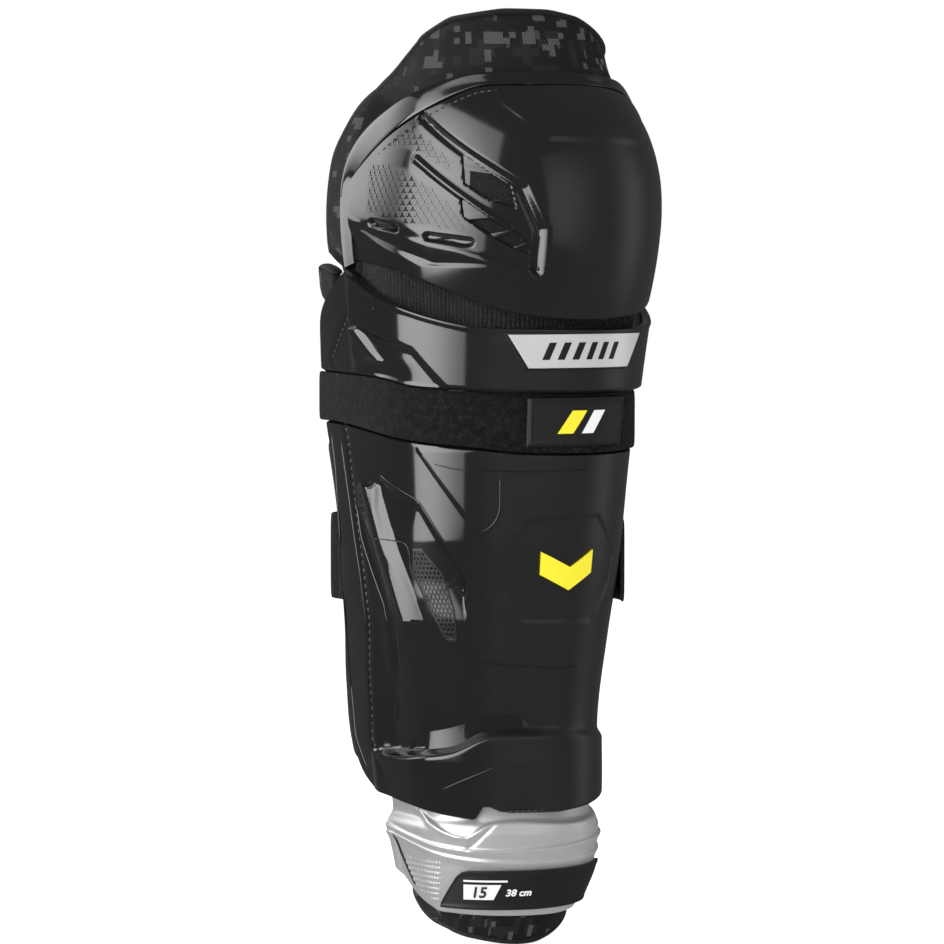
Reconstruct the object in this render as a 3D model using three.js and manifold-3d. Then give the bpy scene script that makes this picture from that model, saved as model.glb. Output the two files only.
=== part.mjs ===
// Hockey shin guard for the right leg: hard shin shell with a knee cap that tilts,
// an ankle guard that flexes, padded fabric linings, calf flaps and two elastic straps.
//
// Frame: +Z up the leg, -Y forward, -X the outer (lateral) side of the leg.
// Every layer is a patch of one leg surface. A place on that surface is (turn, height):
// turn in degrees round the leg from the front centre line, negative to the outer side,
// and height in millimetres above the bottom edge of the lining.

import * as THREE from 'three';
import { mergeVertices } from 'three/addons/utils/BufferGeometryUtils.js';
import Module from 'manifold-3d';

const wasm = await Module();
wasm.setup();

// ---------------------------------------------------------------- driving sizes (mm)
const overallHeight = 490;      // bottom of the ankle lining to the top of the thigh flap
const girth = 1;                // scale of every half width and depth of the leg surface
const shellWall = 2.6;          // moulded shell
const capWall = 2.8;            // moulded knee cap
const foamThick = 7;            // EVA layer behind the shells
const liningThick = 5;          // fabric covered comfort lining
const fit = 0.4;                // gap between pieces that touch
const channelDepth = 2.2;       // strap channel in the shin shell
const bandRise = 2;             // the upper band stands this far out
const hemRise = 2.6;            // and the lower hem this far
const strapThick = 2.4;
const badgeThick = 1.6;
const patchThick = 2.2;
const ankleWall = 2.6;
const flapThick = 7;            // padded fabric flaps
const bindingThick = 1.6;       // rolled edge binding over the flap edge
const slotCount = 7;            // rows of breather slots
const slotWide = 2.2;
const slotLong = 4.2;

const tall = overallHeight / 490;
const degreeArc = 1.25;         // mm behind the middle of the leg per degree past 90

// ---------------------------------------------------------------- curves
// A smooth curve through [at, value] pairs, flat beyond both ends.
function curve(pairs) {
  const at = pairs.map((p) => p[0]);
  const value = pairs.map((p) => p[1]);
  const slope = value.map((v, i) => {
    const a = Math.max(i - 1, 0);
    const b = Math.min(i + 1, value.length - 1);
    if (a === i || b === i) return (value[b] - value[a]) / (at[b] - at[a]);
    return ((value[b] - v) / (at[b] - at[i]) + (v - value[a]) / (at[i] - at[a])) / 2;
  });
  return (x) => {
    if (x <= at[0]) return value[0];
    if (x >= at[at.length - 1]) return value[value.length - 1];
    let i = 0;
    while (x > at[i + 1]) i += 1;
    const h = at[i + 1] - at[i];
    const t = (x - at[i]) / h;
    const t2 = t * t;
    const t3 = t2 * t;
    return (2 * t3 - 3 * t2 + 1) * value[i] + (t3 - 2 * t2 + t) * h * slope[i]
      + (3 * t2 - 2 * t3) * value[i + 1] + (t3 - t2) * h * slope[i + 1];
  };
}

// The same with straight runs, for edges that have real corners.
function polyline(pairs) {
  return (x) => {
    if (x <= pairs[0][0]) return pairs[0][1];
    for (let i = 0; i + 1 < pairs.length; i += 1) {
      const [a, va] = pairs[i];
      const [b, vb] = pairs[i + 1];
      if (x <= b) return va + (vb - va) * (x - a) / (b - a);
    }
    return pairs[pairs.length - 1][1];
  };
}

const mix = (a, b, t) => a + (b - a) * t;

// ---------------------------------------------------------------- leg surfaces
// Half widths to the outer and inner side and the depth to the front, by height.
const shinLeg = {
  outer: curve([[0, 46], [40, 52], [80, 60], [130, 64], [200, 72], [264, 77], [300, 80], [360, 84]]),
  inner: curve([[0, 30], [20, 38], [40, 46], [80, 48], [120, 48], [160, 53], [200, 59], [250, 64],
    [300, 70], [360, 80]]),
  front: curve([[0, 30], [20, 38], [40, 45], [80, 46], [120, 47], [160, 52], [200, 58], [250, 63],
    [300, 68], [360, 74]]),
};
const kneeLeg = {
  outer: curve([[325, 76], [345, 80], [365, 83], [385, 84], [405, 82], [425, 77], [440, 71], [455, 62],
    [490, 56]]),
  inner: curve([[325, 70], [345, 74], [365, 77], [385, 79], [405, 78], [425, 73], [440, 66], [455, 58],
    [490, 54]]),
  front: curve([[325, 74], [345, 80], [365, 84], [385, 85], [405, 83], [425, 76], [440, 66], [455, 52],
    [490, 40]]),
};

// Point of the section at a turn and height, moved out along its own normal.
function legPoint(leg, turn, height, out) {
  const at = (angle) => {
    const side = angle < 0 ? -1 : 1;
    const half = (side < 0 ? leg.outer(height) : leg.inner(height)) * girth;
    const deep = leg.front(height) * girth;
    const r = THREE.MathUtils.degToRad(THREE.MathUtils.clamp(angle, -90, 90));
    const back = Math.max(Math.abs(angle) - 90, 0) * degreeArc * girth;
    return [half * Math.sin(r) - side * 6 * girth * (back / girth / 60) ** 2, back - deep * Math.cos(r)];
  };
  const [x, y] = at(turn);
  const a = at(turn - 0.2);
  const b = at(turn + 0.2);
  const run = Math.hypot(b[0] - a[0], b[1] - a[1]);
  return new THREE.Vector3(
    x + (b[1] - a[1]) / run * out,
    y - (b[0] - a[0]) / run * out,
    height * tall,
  );
}

// ---------------------------------------------------------------- solids
function solidFrom(points, faces) {
  const geometry = new THREE.BufferGeometry();
  geometry.setAttribute('position', new THREE.Float32BufferAttribute(points.flatMap((p) => [p.x, p.y, p.z]), 3));
  geometry.setIndex(faces);
  return mergeVertices(geometry, 1e-4);
}

// A wall over a grid: place(u, v) gives [turn, height]; outer and inner give the offsets of its faces.
function wall({ leg, place, outer, inner, us, vs }) {
  const points = [];
  const wide = us.length;
  const tallCount = vs.length;
  for (const face of [outer, inner]) {
    for (const v of vs) {
      for (const u of us) {
        const [turn, height] = place(u, v);
        points.push(legPoint(leg, turn, height, face(turn, height, u, v)));
      }
    }
  }
  return gridSolid(points, wide, tallCount);
}

// Two grids of points, outer then inner, closed into a wall.
function gridSolid(points, wide, tallCount) {
  const half = wide * tallCount;
  const id = (i, j, k) => k * half + j * wide + i;
  const faces = [];
  const quad = (a, b, c, d) => faces.push(a, b, c, a, c, d);
  for (let j = 0; j + 1 < tallCount; j += 1) {
    for (let i = 0; i + 1 < wide; i += 1) {
      quad(id(i, j, 0), id(i + 1, j, 0), id(i + 1, j + 1, 0), id(i, j + 1, 0));
      quad(id(i, j, 1), id(i, j + 1, 1), id(i + 1, j + 1, 1), id(i + 1, j, 1));
    }
  }
  for (let i = 0; i + 1 < wide; i += 1) {
    quad(id(i, 0, 0), id(i, 0, 1), id(i + 1, 0, 1), id(i + 1, 0, 0));
    const t = tallCount - 1;
    quad(id(i, t, 0), id(i + 1, t, 0), id(i + 1, t, 1), id(i, t, 1));
  }
  for (let j = 0; j + 1 < tallCount; j += 1) {
    quad(id(0, j, 0), id(0, j + 1, 0), id(0, j + 1, 1), id(0, j, 1));
    const w = wide - 1;
    quad(id(w, j, 0), id(w, j, 1), id(w, j + 1, 1), id(w, j + 1, 0));
  }
  return solidFrom(points, faces);
}

// A block that stands on the leg surface: an outline in (turn, height) between two offsets.
function block(leg, outline, low, high) {
  const shape = outline.map(([turn, height]) => new THREE.Vector2(turn * degreeArc, height));
  const ring = THREE.ShapeUtils.isClockWise(shape) ? outline.slice().reverse() : outline;
  const flat = ring.map(([turn, height]) => new THREE.Vector2(turn * degreeArc, height));
  const caps = THREE.ShapeUtils.triangulateShape(flat, []);
  const count = ring.length;
  const points = [];
  for (const out of [high, low]) {
    for (const [turn, height] of ring) points.push(legPoint(leg, turn, height, out));
  }
  const faces = [];
  for (const [a, b, c] of caps) {
    faces.push(a, b, c);
    faces.push(count + a, count + c, count + b);
  }
  for (let i = 0; i < count; i += 1) {
    const j = (i + 1) % count;
    faces.push(i, count + i, count + j, i, count + j, j);
  }
  return solidFrom(points, faces);
}

// Extra points along the edges of an outline so that a plate follows the curve of the leg.
function refine(outline, step) {
  const out = [];
  outline.forEach((p, i) => {
    const q = outline[(i + 1) % outline.length];
    const length = Math.hypot((q[0] - p[0]) * degreeArc, q[1] - p[1]);
    const parts = Math.max(1, Math.round(length / step));
    for (let k = 0; k < parts; k += 1) out.push([mix(p[0], q[0], k / parts), mix(p[1], q[1], k / parts)]);
  });
  return out;
}

const spread = (count) => Array.from({ length: count + 1 }, (_, i) => i / count);

function toManifold(geometry) {
  const bare = geometry.clone();
  bare.deleteAttribute('normal');
  bare.deleteAttribute('uv');
  const merged = mergeVertices(bare, 1e-4);
  return new wasm.Manifold(new wasm.Mesh({
    numProp: 3,
    vertProperties: new Float32Array(merged.attributes.position.array),
    triVerts: new Uint32Array(merged.index.array),
  }));
}

function toGeometry(solid) {
  const mesh = solid.getMesh();
  const geometry = new THREE.BufferGeometry();
  geometry.setAttribute('position', new THREE.Float32BufferAttribute(mesh.vertProperties, 3));
  geometry.setIndex(Array.from(mesh.triVerts));
  return geometry;
}

function largest(solid) {
  const bodies = solid.decompose().sort((a, b) => b.volume() - a.volume());
  return bodies[0].asOriginal().simplify(0.006);
}

function cutAway(geometry, tools) {
  let solid = toManifold(geometry);
  for (const tool of tools) solid = solid.subtract(toManifold(tool));
  // Where a curved wall grazes a tool a loose sliver can be left: the wall is the largest body.
  return toGeometry(largest(solid));
}

// A plate that follows the leg surface: the same outline cut from a curved slab. Every slab has
// its grid lines at the same places, so a plate and its seat are the same distance apart all over.
function plate(leg, outline, low, high, turnStep = 4, heightStep = 7) {
  const turns = outline.map((p) => p[0]);
  const heights = outline.map((p) => p[1]);
  const lines = (values, step) => {
    const from = Math.floor(Math.min(...values) / step - 0.3);
    const to = Math.ceil(Math.max(...values) / step + 0.3);
    return Array.from({ length: to - from + 1 }, (_, i) => (from + i) * step);
  };
  const slab = wall({
    leg,
    place: (u, v) => [u, v],
    outer: () => high,
    inner: () => low,
    us: lines(turns, turnStep),
    vs: lines(heights, heightStep),
  });
  const tool = block(leg, refine(outline, 6), low - 4, high + 18);
  return toGeometry(largest(toManifold(slab).intersect(toManifold(tool))));
}

const group = new THREE.Group();
group.name = 'shin_guard';

function add(name, geometry, colour, roughness, metalness) {
  const material = new THREE.MeshStandardMaterial({ color: colour, roughness, metalness });
  const mesh = new THREE.Mesh(geometry, material);
  mesh.name = name;
  group.add(mesh);
  return mesh;
}

// ---------------------------------------------------------------- shin shell
// Edges of the shell and of its moulded features, as height against turn.
const hemEdge = curve([[-150, 80], [-119, 77], [-96, 73.5], [-70, 71], [-48, 68.5], [-30, 71], [0, 71],
  [28, 73], [50, 76], [112, 84]]);
const hemCrease = curve([[-150, 98], [-112, 100], [-80, 103], [-56, 106], [-36, 114], [0, 114],
  [44, 111], [112, 106]]);
const channelLow = curve([[-150, 274], [-122, 273], [-70, 266], [-42, 263], [-23, 260.5], [56, 260.5],
  [112, 264]]);
const channelHigh = curve([[-150, 300], [-86, 297], [-72, 294], [-51, 292.5], [-24, 290.5], [64, 291],
  [112, 295]]);
const rim = curve([[-112, 356], [-104, 351.5], [-92, 344], [-71, 334.5], [-54, 328.5], [-42, 325.5],
  [-26, 324.5], [36, 324.5], [60, 328], [85, 339], [104, 349], [112, 350]]);
// Rear edges, as turn against height.
const outerWing = curve([[77, -119], [84, -134], [103, -146], [133, -148], [166, -142], [225, -139],
  [254, -144], [270, -148], [314, -149], [332, -145], [346, -129], [356, -112]]);
const innerWing = curve([[77, 92], [90, 100], [130, 104], [200, 104], [270, 108], [320, 110], [338, 108],
  [350, 100]]);

const bevel = 1.4;
const shellRows = [
  { edge: hemEdge, rise: hemRise, parts: 4 },
  { edge: (t) => hemCrease(t) - 4, rise: hemRise, parts: 1 },
  { edge: hemCrease, rise: 0, parts: 14 },
  { edge: (t) => channelLow(t) - bevel, rise: 0, parts: 1 },
  { edge: channelLow, rise: -channelDepth, parts: 2 },
  { edge: channelHigh, rise: -channelDepth, parts: 1 },
  { edge: (t) => channelHigh(t) + bevel + 1, rise: bandRise, parts: 3 },
  { edge: rim, rise: bandRise, parts: 0 },
];
const rowList = [];
shellRows.forEach((row, k) => {
  for (let i = 0; i < row.parts; i += 1) rowList.push(k + i / row.parts);
});
rowList.push(shellRows.length - 1);

function rowHeight(row, turn) {
  const k = Math.min(Math.floor(row), shellRows.length - 2);
  return mix(shellRows[k].edge(turn), shellRows[k + 1].edge(turn), row - k);
}

function rowRise(row) {
  const k = Math.min(Math.floor(row), shellRows.length - 2);
  return mix(shellRows[k].rise, shellRows[k + 1].rise, row - k);
}

function shellPlace(u, row) {
  const from = outerWing(rowHeight(row, -140));
  const to = innerWing(rowHeight(row, 108));
  const turn = mix(from, to, u);
  return [turn, rowHeight(row, turn)];
}

// The wings thin to a plain edge: the moulded rises fade out over the last stretch.
function shellFace(turn, height, u, row) {
  const fade = THREE.MathUtils.smoothstep(u, 0, 0.04) * (1 - THREE.MathUtils.smoothstep(u, 0.97, 1));
  const rise = rowRise(row);
  return rise > 0 ? rise * fade : rise;
}

const shellSolid = wall({
  leg: shinLeg,
  place: shellPlace,
  outer: shellFace,
  inner: (t, h, u, row) => shellFace(t, h, u, row) - shellWall,
  us: spread(38),
  vs: rowList,
});

// Moulded pockets: the wedge under the outer corner, the long side recess and the front panel rim.
const pocket = 1.1;
const wedge = [[-103, 327], [-74, 317.5], [-68, 315], [-53, 297], [-85, 301], [-88, 309]];
const sideRecess = [[-98, 243], [-69, 232], [-47, 195], [-46, 166], [-70, 168], [-88, 206]];
const frontPanel = [[-32, 205], [-18, 225], [18, 225], [32, 205], [24, 172], [-24, 172]];

const badgeOutline = [[-30, 321.5], [34, 321.5], [26, 304], [-22, 304]];
const emblemOutline = [[-13, 208], [0, 200], [13, 208], [13, 196], [0, 188], [-13, 196]];

function grow(outline, by) {
  const cx = outline.reduce((s, p) => s + p[0], 0) / outline.length;
  const cz = outline.reduce((s, p) => s + p[1], 0) / outline.length;
  const reach = Math.max(...outline.map((p) => Math.abs(p[1] - cz)));
  const scale = 1 + by / reach;
  return outline.map(([t, z]) => [cx + (t - cx) * scale, cz + (z - cz) * scale]);
}

// Breather slots in staggered slanted rows.
const slots = [];
for (let r = 0; r < slotCount; r += 1) {
  for (let c = 0; c < 4; c += 1) {
    const turn = -74 + r * 3.1 + c * 3.6;
    const height = 207 - r * 6 - c * 2.2 - (r % 2);
    const w = slotWide / degreeArc / 2;
    const l = slotLong / 2;
    slots.push([[turn - w - 0.5, height + l], [turn + w - 0.5, height + l], [turn + w + 0.5, height - l],
      [turn - w + 0.5, height - l]]);
  }
}

const shellTools = [
  plate(shinLeg, wedge, bandRise - pocket, 12),
  plate(shinLeg, sideRecess, -pocket, 12),
  plate(shinLeg, frontPanel, -0.5, 12),
  plate(shinLeg, grow(badgeOutline, fit), bandRise - pocket, 12),
  ...slots.map((s) => block(shinLeg, s, -9, 6)),
];
add('shin_shell', cutAway(shellSolid, shellTools), 0x141414, 0.18, 0.0);

// Polished plate in the upper band, left blank.
add('shin_badge', plate(shinLeg, badgeOutline, bandRise - pocket + fit,
  bandRise - pocket + fit + badgeThick), 0xc9cbcc, 0.2, 1.0);

// Plain yellow chevron bonded on the front panel.
add('front_chevron', plate(shinLeg, emblemOutline, -0.5 + fit, -0.5 + fit + 0.9),
  0xf0e010, 0.5, 0.0);

// ---------------------------------------------------------------- layers behind the shell
const foamOut = -channelDepth - shellWall - fit - 1.2;
const liningOut = foamOut - foamThick - fit;

const foamLow = (t) => 104 + 0 * t;
const foamHigh = (t) => Math.min(rim(t) - 14, 330);

function layerPlace(fromTurn, toTurn, low, high) {
  return (u, v) => {
    const turn = mix(fromTurn, toTurn, u);
    return [turn, mix(low(turn), high(turn), v)];
  };
}

add('shin_foam', wall({
  leg: shinLeg,
  place: layerPlace(-128, 94, foamLow, foamHigh),
  outer: () => foamOut,
  inner: () => foamOut - foamThick,
  us: spread(24),
  vs: spread(8),
}), 0x2b2b2e, 0.9, 0.0);

add('shin_lining', wall({
  leg: shinLeg,
  place: layerPlace(-126, 92, (t) => foamLow(t) - 2, (t) => foamHigh(t) - 1),
  outer: () => liningOut,
  inner: () => liningOut - liningThick,
  us: spread(24),
  vs: spread(8),
}), 0x232427, 0.95, 0.0);

// Mesh seen through the breather slots.
const meshOutline = [[-80, 214], [-60, 210], [-40, 168], [-42, 156], [-60, 156], [-82, 206]];
add('breather_mesh', plate(shinLeg, meshOutline, -shellWall - pocket - fit - 0.9,
  -shellWall - pocket - fit), 0x101010, 0.8, 0.0);

// ---------------------------------------------------------------- ankle guard
// Satin grey guard with three moulded ridges, tucked up behind the shell hem.
const ankleOut = curve([[14, -1.6], [30, -0.6], [42, -0.2], [46, 1.6], [50, 0.2], [53, 1.6], [57, 0.4],
  [61, 1.2], [64, -1.2], [67, -4.6], [90, -4.8]]);
const ankleLow = curve([[-118, 36], [-113, 34], [-100, 23], [-88, 18], [-70, 17], [60, 17], [80, 20],
  [96, 30]]);
const ankleHigh = (t) => 86 + 0 * t;
add('ankle_guard', wall({
  leg: shinLeg,
  place: layerPlace(-117, 94, ankleLow, ankleHigh),
  outer: (t, h) => ankleOut(h),
  inner: (t, h) => ankleOut(h) - ankleWall,
  us: spread(30),
  vs: [0, 0.12, 0.26, 0.36, 0.42, 0.47, 0.52, 0.57, 0.62, 0.66, 0.7, 0.74, 0.86, 1],
}), 0xb7bbc0, 0.34, 0.55);

// Black band along the bottom of the guard that carries the size.
const labelOutline = [[-76, 20.5], [-61, 38], [-54, 40.5], [0, 40.5], [60, 40.5], [84, 36], [86, 24],
  [60, 20.5], [-10, 19.5]];
add('size_band', plate(shinLeg, labelOutline, 0.4, 1.9), 0x0d0d0d, 0.7, 0.0);

// Fabric lining that hangs below the guard.
const skirtLow = curve([[-112, 26], [-104, 15], [-76, 7.5], [-44, 3], [-10, 0], [18, 3], [48, 9],
  [92, 22]]);
const skirtOut = curve([[0, -2.4 - ankleWall], [44, -2.6 - ankleWall], [57, -6.8 - ankleWall],
  [90, -6.8 - ankleWall]]);
add('ankle_lining', wall({
  leg: shinLeg,
  place: layerPlace(-112, 90, skirtLow, (t) => 88 + 0 * t),
  outer: (t, h) => skirtOut(h),
  inner: (t, h) => skirtOut(h) - liningThick,
  us: spread(24),
  vs: [0, 0.25, 0.48, 0.56, 0.64, 0.8, 1],
}), 0x232427, 0.95, 0.0);
// White field on the band for the size.
add('size_plate', plate(shinLeg, [[-58, 36], [-34, 36], [-36, 25], [-56, 25]], 2.2, 2.8),
  0xe8e8e8, 0.6, 0.0);

// ---------------------------------------------------------------- knee cap
const capLow = curve([[-107, 359], [-81, 354.8], [-62, 346.3], [-49, 340], [-34, 333.5], [-10, 329.4],
  [22, 330], [43, 334], [62, 342], [85, 352], [107, 359]]);
const capHigh = curve([[-107, 402], [-92, 419], [-77, 432], [-58, 443], [-45, 448.5], [-26, 449.5],
  [26, 449.5], [45, 448], [58, 443], [77, 432], [92, 419], [107, 402]]);
const capSolid = wall({
  leg: kneeLeg,
  place: layerPlace(-107, 107, capLow, capHigh),
  outer: () => 0,
  inner: () => -capWall,
  us: spread(36),
  vs: spread(16),
});
const ventUpper = [[-52, 412], [-34, 396], [-33, 384], [-42, 391]];
const ventLower = [[-58, 396], [-42, 384], [-33, 373], [-50, 386]];
const capWedge = [[-70, 432], [-30, 398], [-24, 357], [-50, 372], [-66, 410]];
add('knee_cap', cutAway(capSolid, [
  plate(kneeLeg, capWedge, -pocket, 12),
  block(kneeLeg, ventUpper, -12, 6),
  block(kneeLeg, ventLower, -12, 6),
]), 0x121212, 0.2, 0.0);

// Mesh pads behind the two vents.
add('vent_mesh_upper', plate(kneeLeg, grow(ventUpper, 3), -capWall - fit - 1.2, -capWall - fit),
  0x101010, 0.8, 0.0);
add('vent_mesh_lower', plate(kneeLeg, [[-62, 396.5], [-50, 387.5], [-43, 382], [-31, 376], [-31, 370],
  [-50, 381.5]], -capWall - fit - 1.2, -capWall - fit), 0x101010, 0.8, 0.0);

// Glossy rim that frames the cap from one side over the top to the other.
const rimInner = [[-107.6, 361], [-107.8, 388], [-107.6, 403], [-92, 420], [-77, 433], [-58, 444],
  [-45, 449.6], [-26, 450.3], [0, 450.3]];
const rimOuter = [[-112, 357], [-116, 388], [-119, 407], [-117, 421], [-105, 433], [-85, 445],
  [-63, 453], [-47, 456.5], [0, 457.5]];
function mirrored(list) {
  const back = list.slice(0, -1).reverse().map(([t, z]) => [-t, z]);
  return [...list, ...back];
}
const rimA = mirrored(rimInner);
const rimB = mirrored(rimOuter);
function rimPlace(u, v) {
  const k = Math.min(Math.floor(u * (rimA.length - 1)), rimA.length - 2);
  const f = u * (rimA.length - 1) - k;
  const a = [mix(rimA[k][0], rimA[k + 1][0], f), mix(rimA[k][1], rimA[k + 1][1], f)];
  const b = [mix(rimB[k][0], rimB[k + 1][0], f), mix(rimB[k][1], rimB[k + 1][1], f)];
  return [mix(a[0], b[0], v), mix(a[1], b[1], v)];
}
add('knee_rim', wall({
  leg: kneeLeg,
  place: rimPlace,
  outer: (t, h, u, v) => 0.6 + 1.8 * v,
  inner: (t, h, u, v) => 0.6 + 1.8 * v - 2.4,
  us: spread(48),
  vs: [0, 0.5, 1],
}), 0x1a1a1a, 0.12, 0.0);

// ---------------------------------------------------------------- layers behind the knee cap
const kneeFoamOut = -capWall - fit - 1.2 - fit - 0.4;
add('knee_foam', wall({
  leg: kneeLeg,
  place: layerPlace(-98, 98, (t) => capLow(t) + 10, (t) => Math.min(capHigh(t) - 4, 436)),
  outer: () => kneeFoamOut,
  inner: () => kneeFoamOut - foamThick,
  us: spread(24),
  vs: spread(7),
}), 0x2b2b2e, 0.9, 0.0);

const kneeLiningTop = curve([[-131, 414], [-124, 430], [-116, 437], [-100, 438], [0, 441], [100, 438],
  [116, 437], [124, 430], [131, 414]]);
const kneeLiningLow = curve([[-131, 366], [-120, 360], [-80, 362], [-40, 348], [0, 344], [40, 348],
  [80, 362], [120, 360], [131, 366]]);
const kneeLiningOut = (t) => mix(kneeFoamOut - foamThick - fit - 0.6, -1.5,
  THREE.MathUtils.smoothstep(Math.abs(t), 107, 120) * 0.62);
add('knee_lining', wall({
  leg: kneeLeg,
  place: layerPlace(-131, 131, kneeLiningLow, kneeLiningTop),
  outer: kneeLiningOut,
  inner: (t) => kneeLiningOut(t) - liningThick,
  us: spread(34),
  vs: spread(7),
}), 0x232427, 0.95, 0.0);

// Rolled bindings down both rear edges of that lining.
for (const [name, sign] of [['knee_binding_outer', -1], ['knee_binding_inner', 1]]) {
  const turns = sign < 0 ? [-133.4, -131.4] : [131.4, 133.4];
  add(name, wall({
    leg: kneeLeg,
    place: layerPlace(turns[0], turns[1], () => 366, () => 414),
    outer: () => kneeLiningOut(131) + 0.5,
    inner: () => kneeLiningOut(131) - liningThick - 0.5,
    us: [0, 1],
    vs: spread(6),
  }), 0x0b0b0b, 0.8, 0.0);
}

// Ribbed stretch mesh between the shin rim and the knee cap.
const gussetOut = (t) => mix(-4.4, -8.8, THREE.MathUtils.smoothstep(Math.abs(t), 28, 62));
add('knee_gusset', wall({
  leg: shinLeg,
  place: layerPlace(-90, 90, (t) => rim(t) - 12, (t) => capLow(t) + 4),
  outer: gussetOut,
  inner: (t) => gussetOut(t) - 1,
  us: spread(30),
  vs: spread(3),
}), 0x0c0c0c, 0.85, 0.0);

// ---------------------------------------------------------------- thigh flap
const thighTop = curve([[-97, 461], [-88, 472], [-62, 483], [-28, 488], [-8, 490], [20, 485], [60, 471],
  [88, 463], [97, 459]]);
const thighLow = () => 447;
const thighOut = -5.6;
add('thigh_flap', wall({
  leg: kneeLeg,
  place: layerPlace(-96, 96, thighLow, (t) => thighTop(t) - bindingThick - fit),
  outer: () => thighOut,
  inner: () => thighOut - flapThick,
  us: spread(28),
  vs: spread(4),
}), 0x232427, 0.95, 0.0);
// Rolled binding along its top edge.
add('thigh_binding', wall({
  leg: kneeLeg,
  place: layerPlace(-96, 96, (t) => thighTop(t) - bindingThick, thighTop),
  outer: () => thighOut + 0.6,
  inner: () => thighOut - flapThick - 0.6,
  us: spread(28),
  vs: [0, 1],
}), 0x0b0b0b, 0.8, 0.0);

// ---------------------------------------------------------------- straps
// The upper strap runs in its channel round the front and on behind the calf in one loop.
const strapGap = 0.5;
const strapLow = (t) => channelLow(t) + strapGap;
const strapHigh = (t) => channelHigh(t) - strapGap;
const strapIn = -channelDepth + fit;

function ringFrom(path) {
  // path: list of {inLow, outLow, outHigh, inHigh}, closed into a ring
  const points = path.flatMap((s) => [s.inLow, s.outLow, s.outHigh, s.inHigh]);
  const faces = [];
  const count = path.length;
  for (let i = 0; i < count; i += 1) {
    const j = (i + 1) % count;
    for (let k = 0; k < 4; k += 1) {
      const m = (k + 1) % 4;
      const a = i * 4 + k;
      const b = j * 4 + k;
      const c = j * 4 + m;
      const d = i * 4 + m;
      faces.push(a, b, c, a, c, d);
    }
  }
  return solidFrom(points, faces);
}

// Sections of a strap behind the calf: a smooth curve in plan that leaves the end of one side
// heading back, passes behind the calf flaps and comes in to the start of the other side.
function rearSections(from, to, lead, trail, low, high, thick, parts) {
  const curveInPlan = new THREE.CubicBezierCurve(
    new THREE.Vector2(from.x, from.y),
    new THREE.Vector2(from.x + lead[0], from.y + lead[1]),
    new THREE.Vector2(to.x + trail[0], to.y + trail[1]),
    new THREE.Vector2(to.x, to.y),
  );
  const list = [];
  for (let i = 1; i < parts; i += 1) {
    const f = i / parts;
    const { x, y } = curveInPlan.getPoint(f);
    const way = curveInPlan.getTangent(f);
    const zl = mix(low[0], low[1], f) * tall;
    const zh = mix(high[0], high[1], f) * tall;
    list.push({
      inLow: new THREE.Vector3(x, y, zl),
      outLow: new THREE.Vector3(x + way.y * thick, y - way.x * thick, zl),
      outHigh: new THREE.Vector3(x + way.y * thick, y - way.x * thick, zh),
      inHigh: new THREE.Vector3(x, y, zh),
    });
  }
  return list;
}

const strapPath = [];
const strapTurns = spread(40).map((f) => mix(-151, 114, f));
for (const turn of strapTurns) {
  strapPath.push({
    inLow: legPoint(shinLeg, turn, strapLow(turn), strapIn),
    outLow: legPoint(shinLeg, turn, strapLow(turn), strapIn + strapThick),
    outHigh: legPoint(shinLeg, turn, strapHigh(turn), strapIn + strapThick),
    inHigh: legPoint(shinLeg, turn, strapHigh(turn), strapIn),
  });
}
const strapEnd = strapPath[strapPath.length - 1].inLow;
const strapStart = strapPath[0].inLow;
const strapRear = rearSections(strapEnd, strapStart, [2, 52 * girth], [8, 34 * girth],
  [strapLow(114), strapLow(-151)], [strapHigh(114), strapHigh(-151)], strapThick, 18);
add('upper_strap', ringFrom([...strapPath, ...strapRear]), 0x151515, 0.95, 0.0);

// Rubber pull tab at the end of the strap, hooked on to the front of it.
const patchOutline = [[-22, 288.5], [26, 288.5], [26, 263.5], [-22, 263.5]];
add('pull_tab', plate(shinLeg, patchOutline, strapIn + strapThick + fit,
  strapIn + strapThick + fit + patchThick), 0x111111, 0.6, 0.0);

// Lower strap: a wide elastic behind the calf, from inside the outer wing to inside the inner one.
function openBand(sections) {
  const points = sections.flatMap((s) => [s.inLow, s.outLow, s.outHigh, s.inHigh]);
  const faces = [];
  for (let i = 0; i + 1 < sections.length; i += 1) {
    for (let k = 0; k < 4; k += 1) {
      const m = (k + 1) % 4;
      const a = i * 4 + k;
      const b = (i + 1) * 4 + k;
      faces.push(a, b, b - k + m, a, b - k + m, a - k + m);
    }
  }
  const e = (sections.length - 1) * 4;
  faces.push(0, 1, 2, 0, 2, 3, e, e + 3, e + 2, e, e + 2, e + 1);
  return solidFrom(points, faces);
}

const lowStrapLow = 177;
const lowStrapHigh = 223;
const lowInside = -shellWall - fit - strapThick;
const lowOutside = fit + 0.5;
const onShell = (turn, inner) => ({
  inLow: legPoint(shinLeg, turn, lowStrapLow, inner),
  outLow: legPoint(shinLeg, turn, lowStrapLow, inner + strapThick),
  outHigh: legPoint(shinLeg, turn, lowStrapHigh, inner + strapThick),
  inHigh: legPoint(shinLeg, turn, lowStrapHigh, inner),
});
const lowInner = spread(4).map((f) => onShell(mix(88, 116, f), lowOutside));
const lowOuter = spread(4).map((f) => onShell(mix(-152, -131, f), lowInside));
const lowRear = rearSections(lowInner[4].inLow, lowOuter[0].inLow, [2, 44 * girth], [8, 26 * girth],
  [lowStrapLow, lowStrapLow], [lowStrapHigh, lowStrapHigh], strapThick, 16);
add('lower_strap', openBand([...lowInner, ...lowRear, ...lowOuter]), 0x151515, 0.95, 0.0);
// Hook tab at its free end, closed on the outside of the inner wing.
add('lower_strap_tab', openBand(spread(6).map((f) => onShell(mix(58, 87.4, f), lowOutside))),
  0x101010, 0.9, 0.0);

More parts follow.
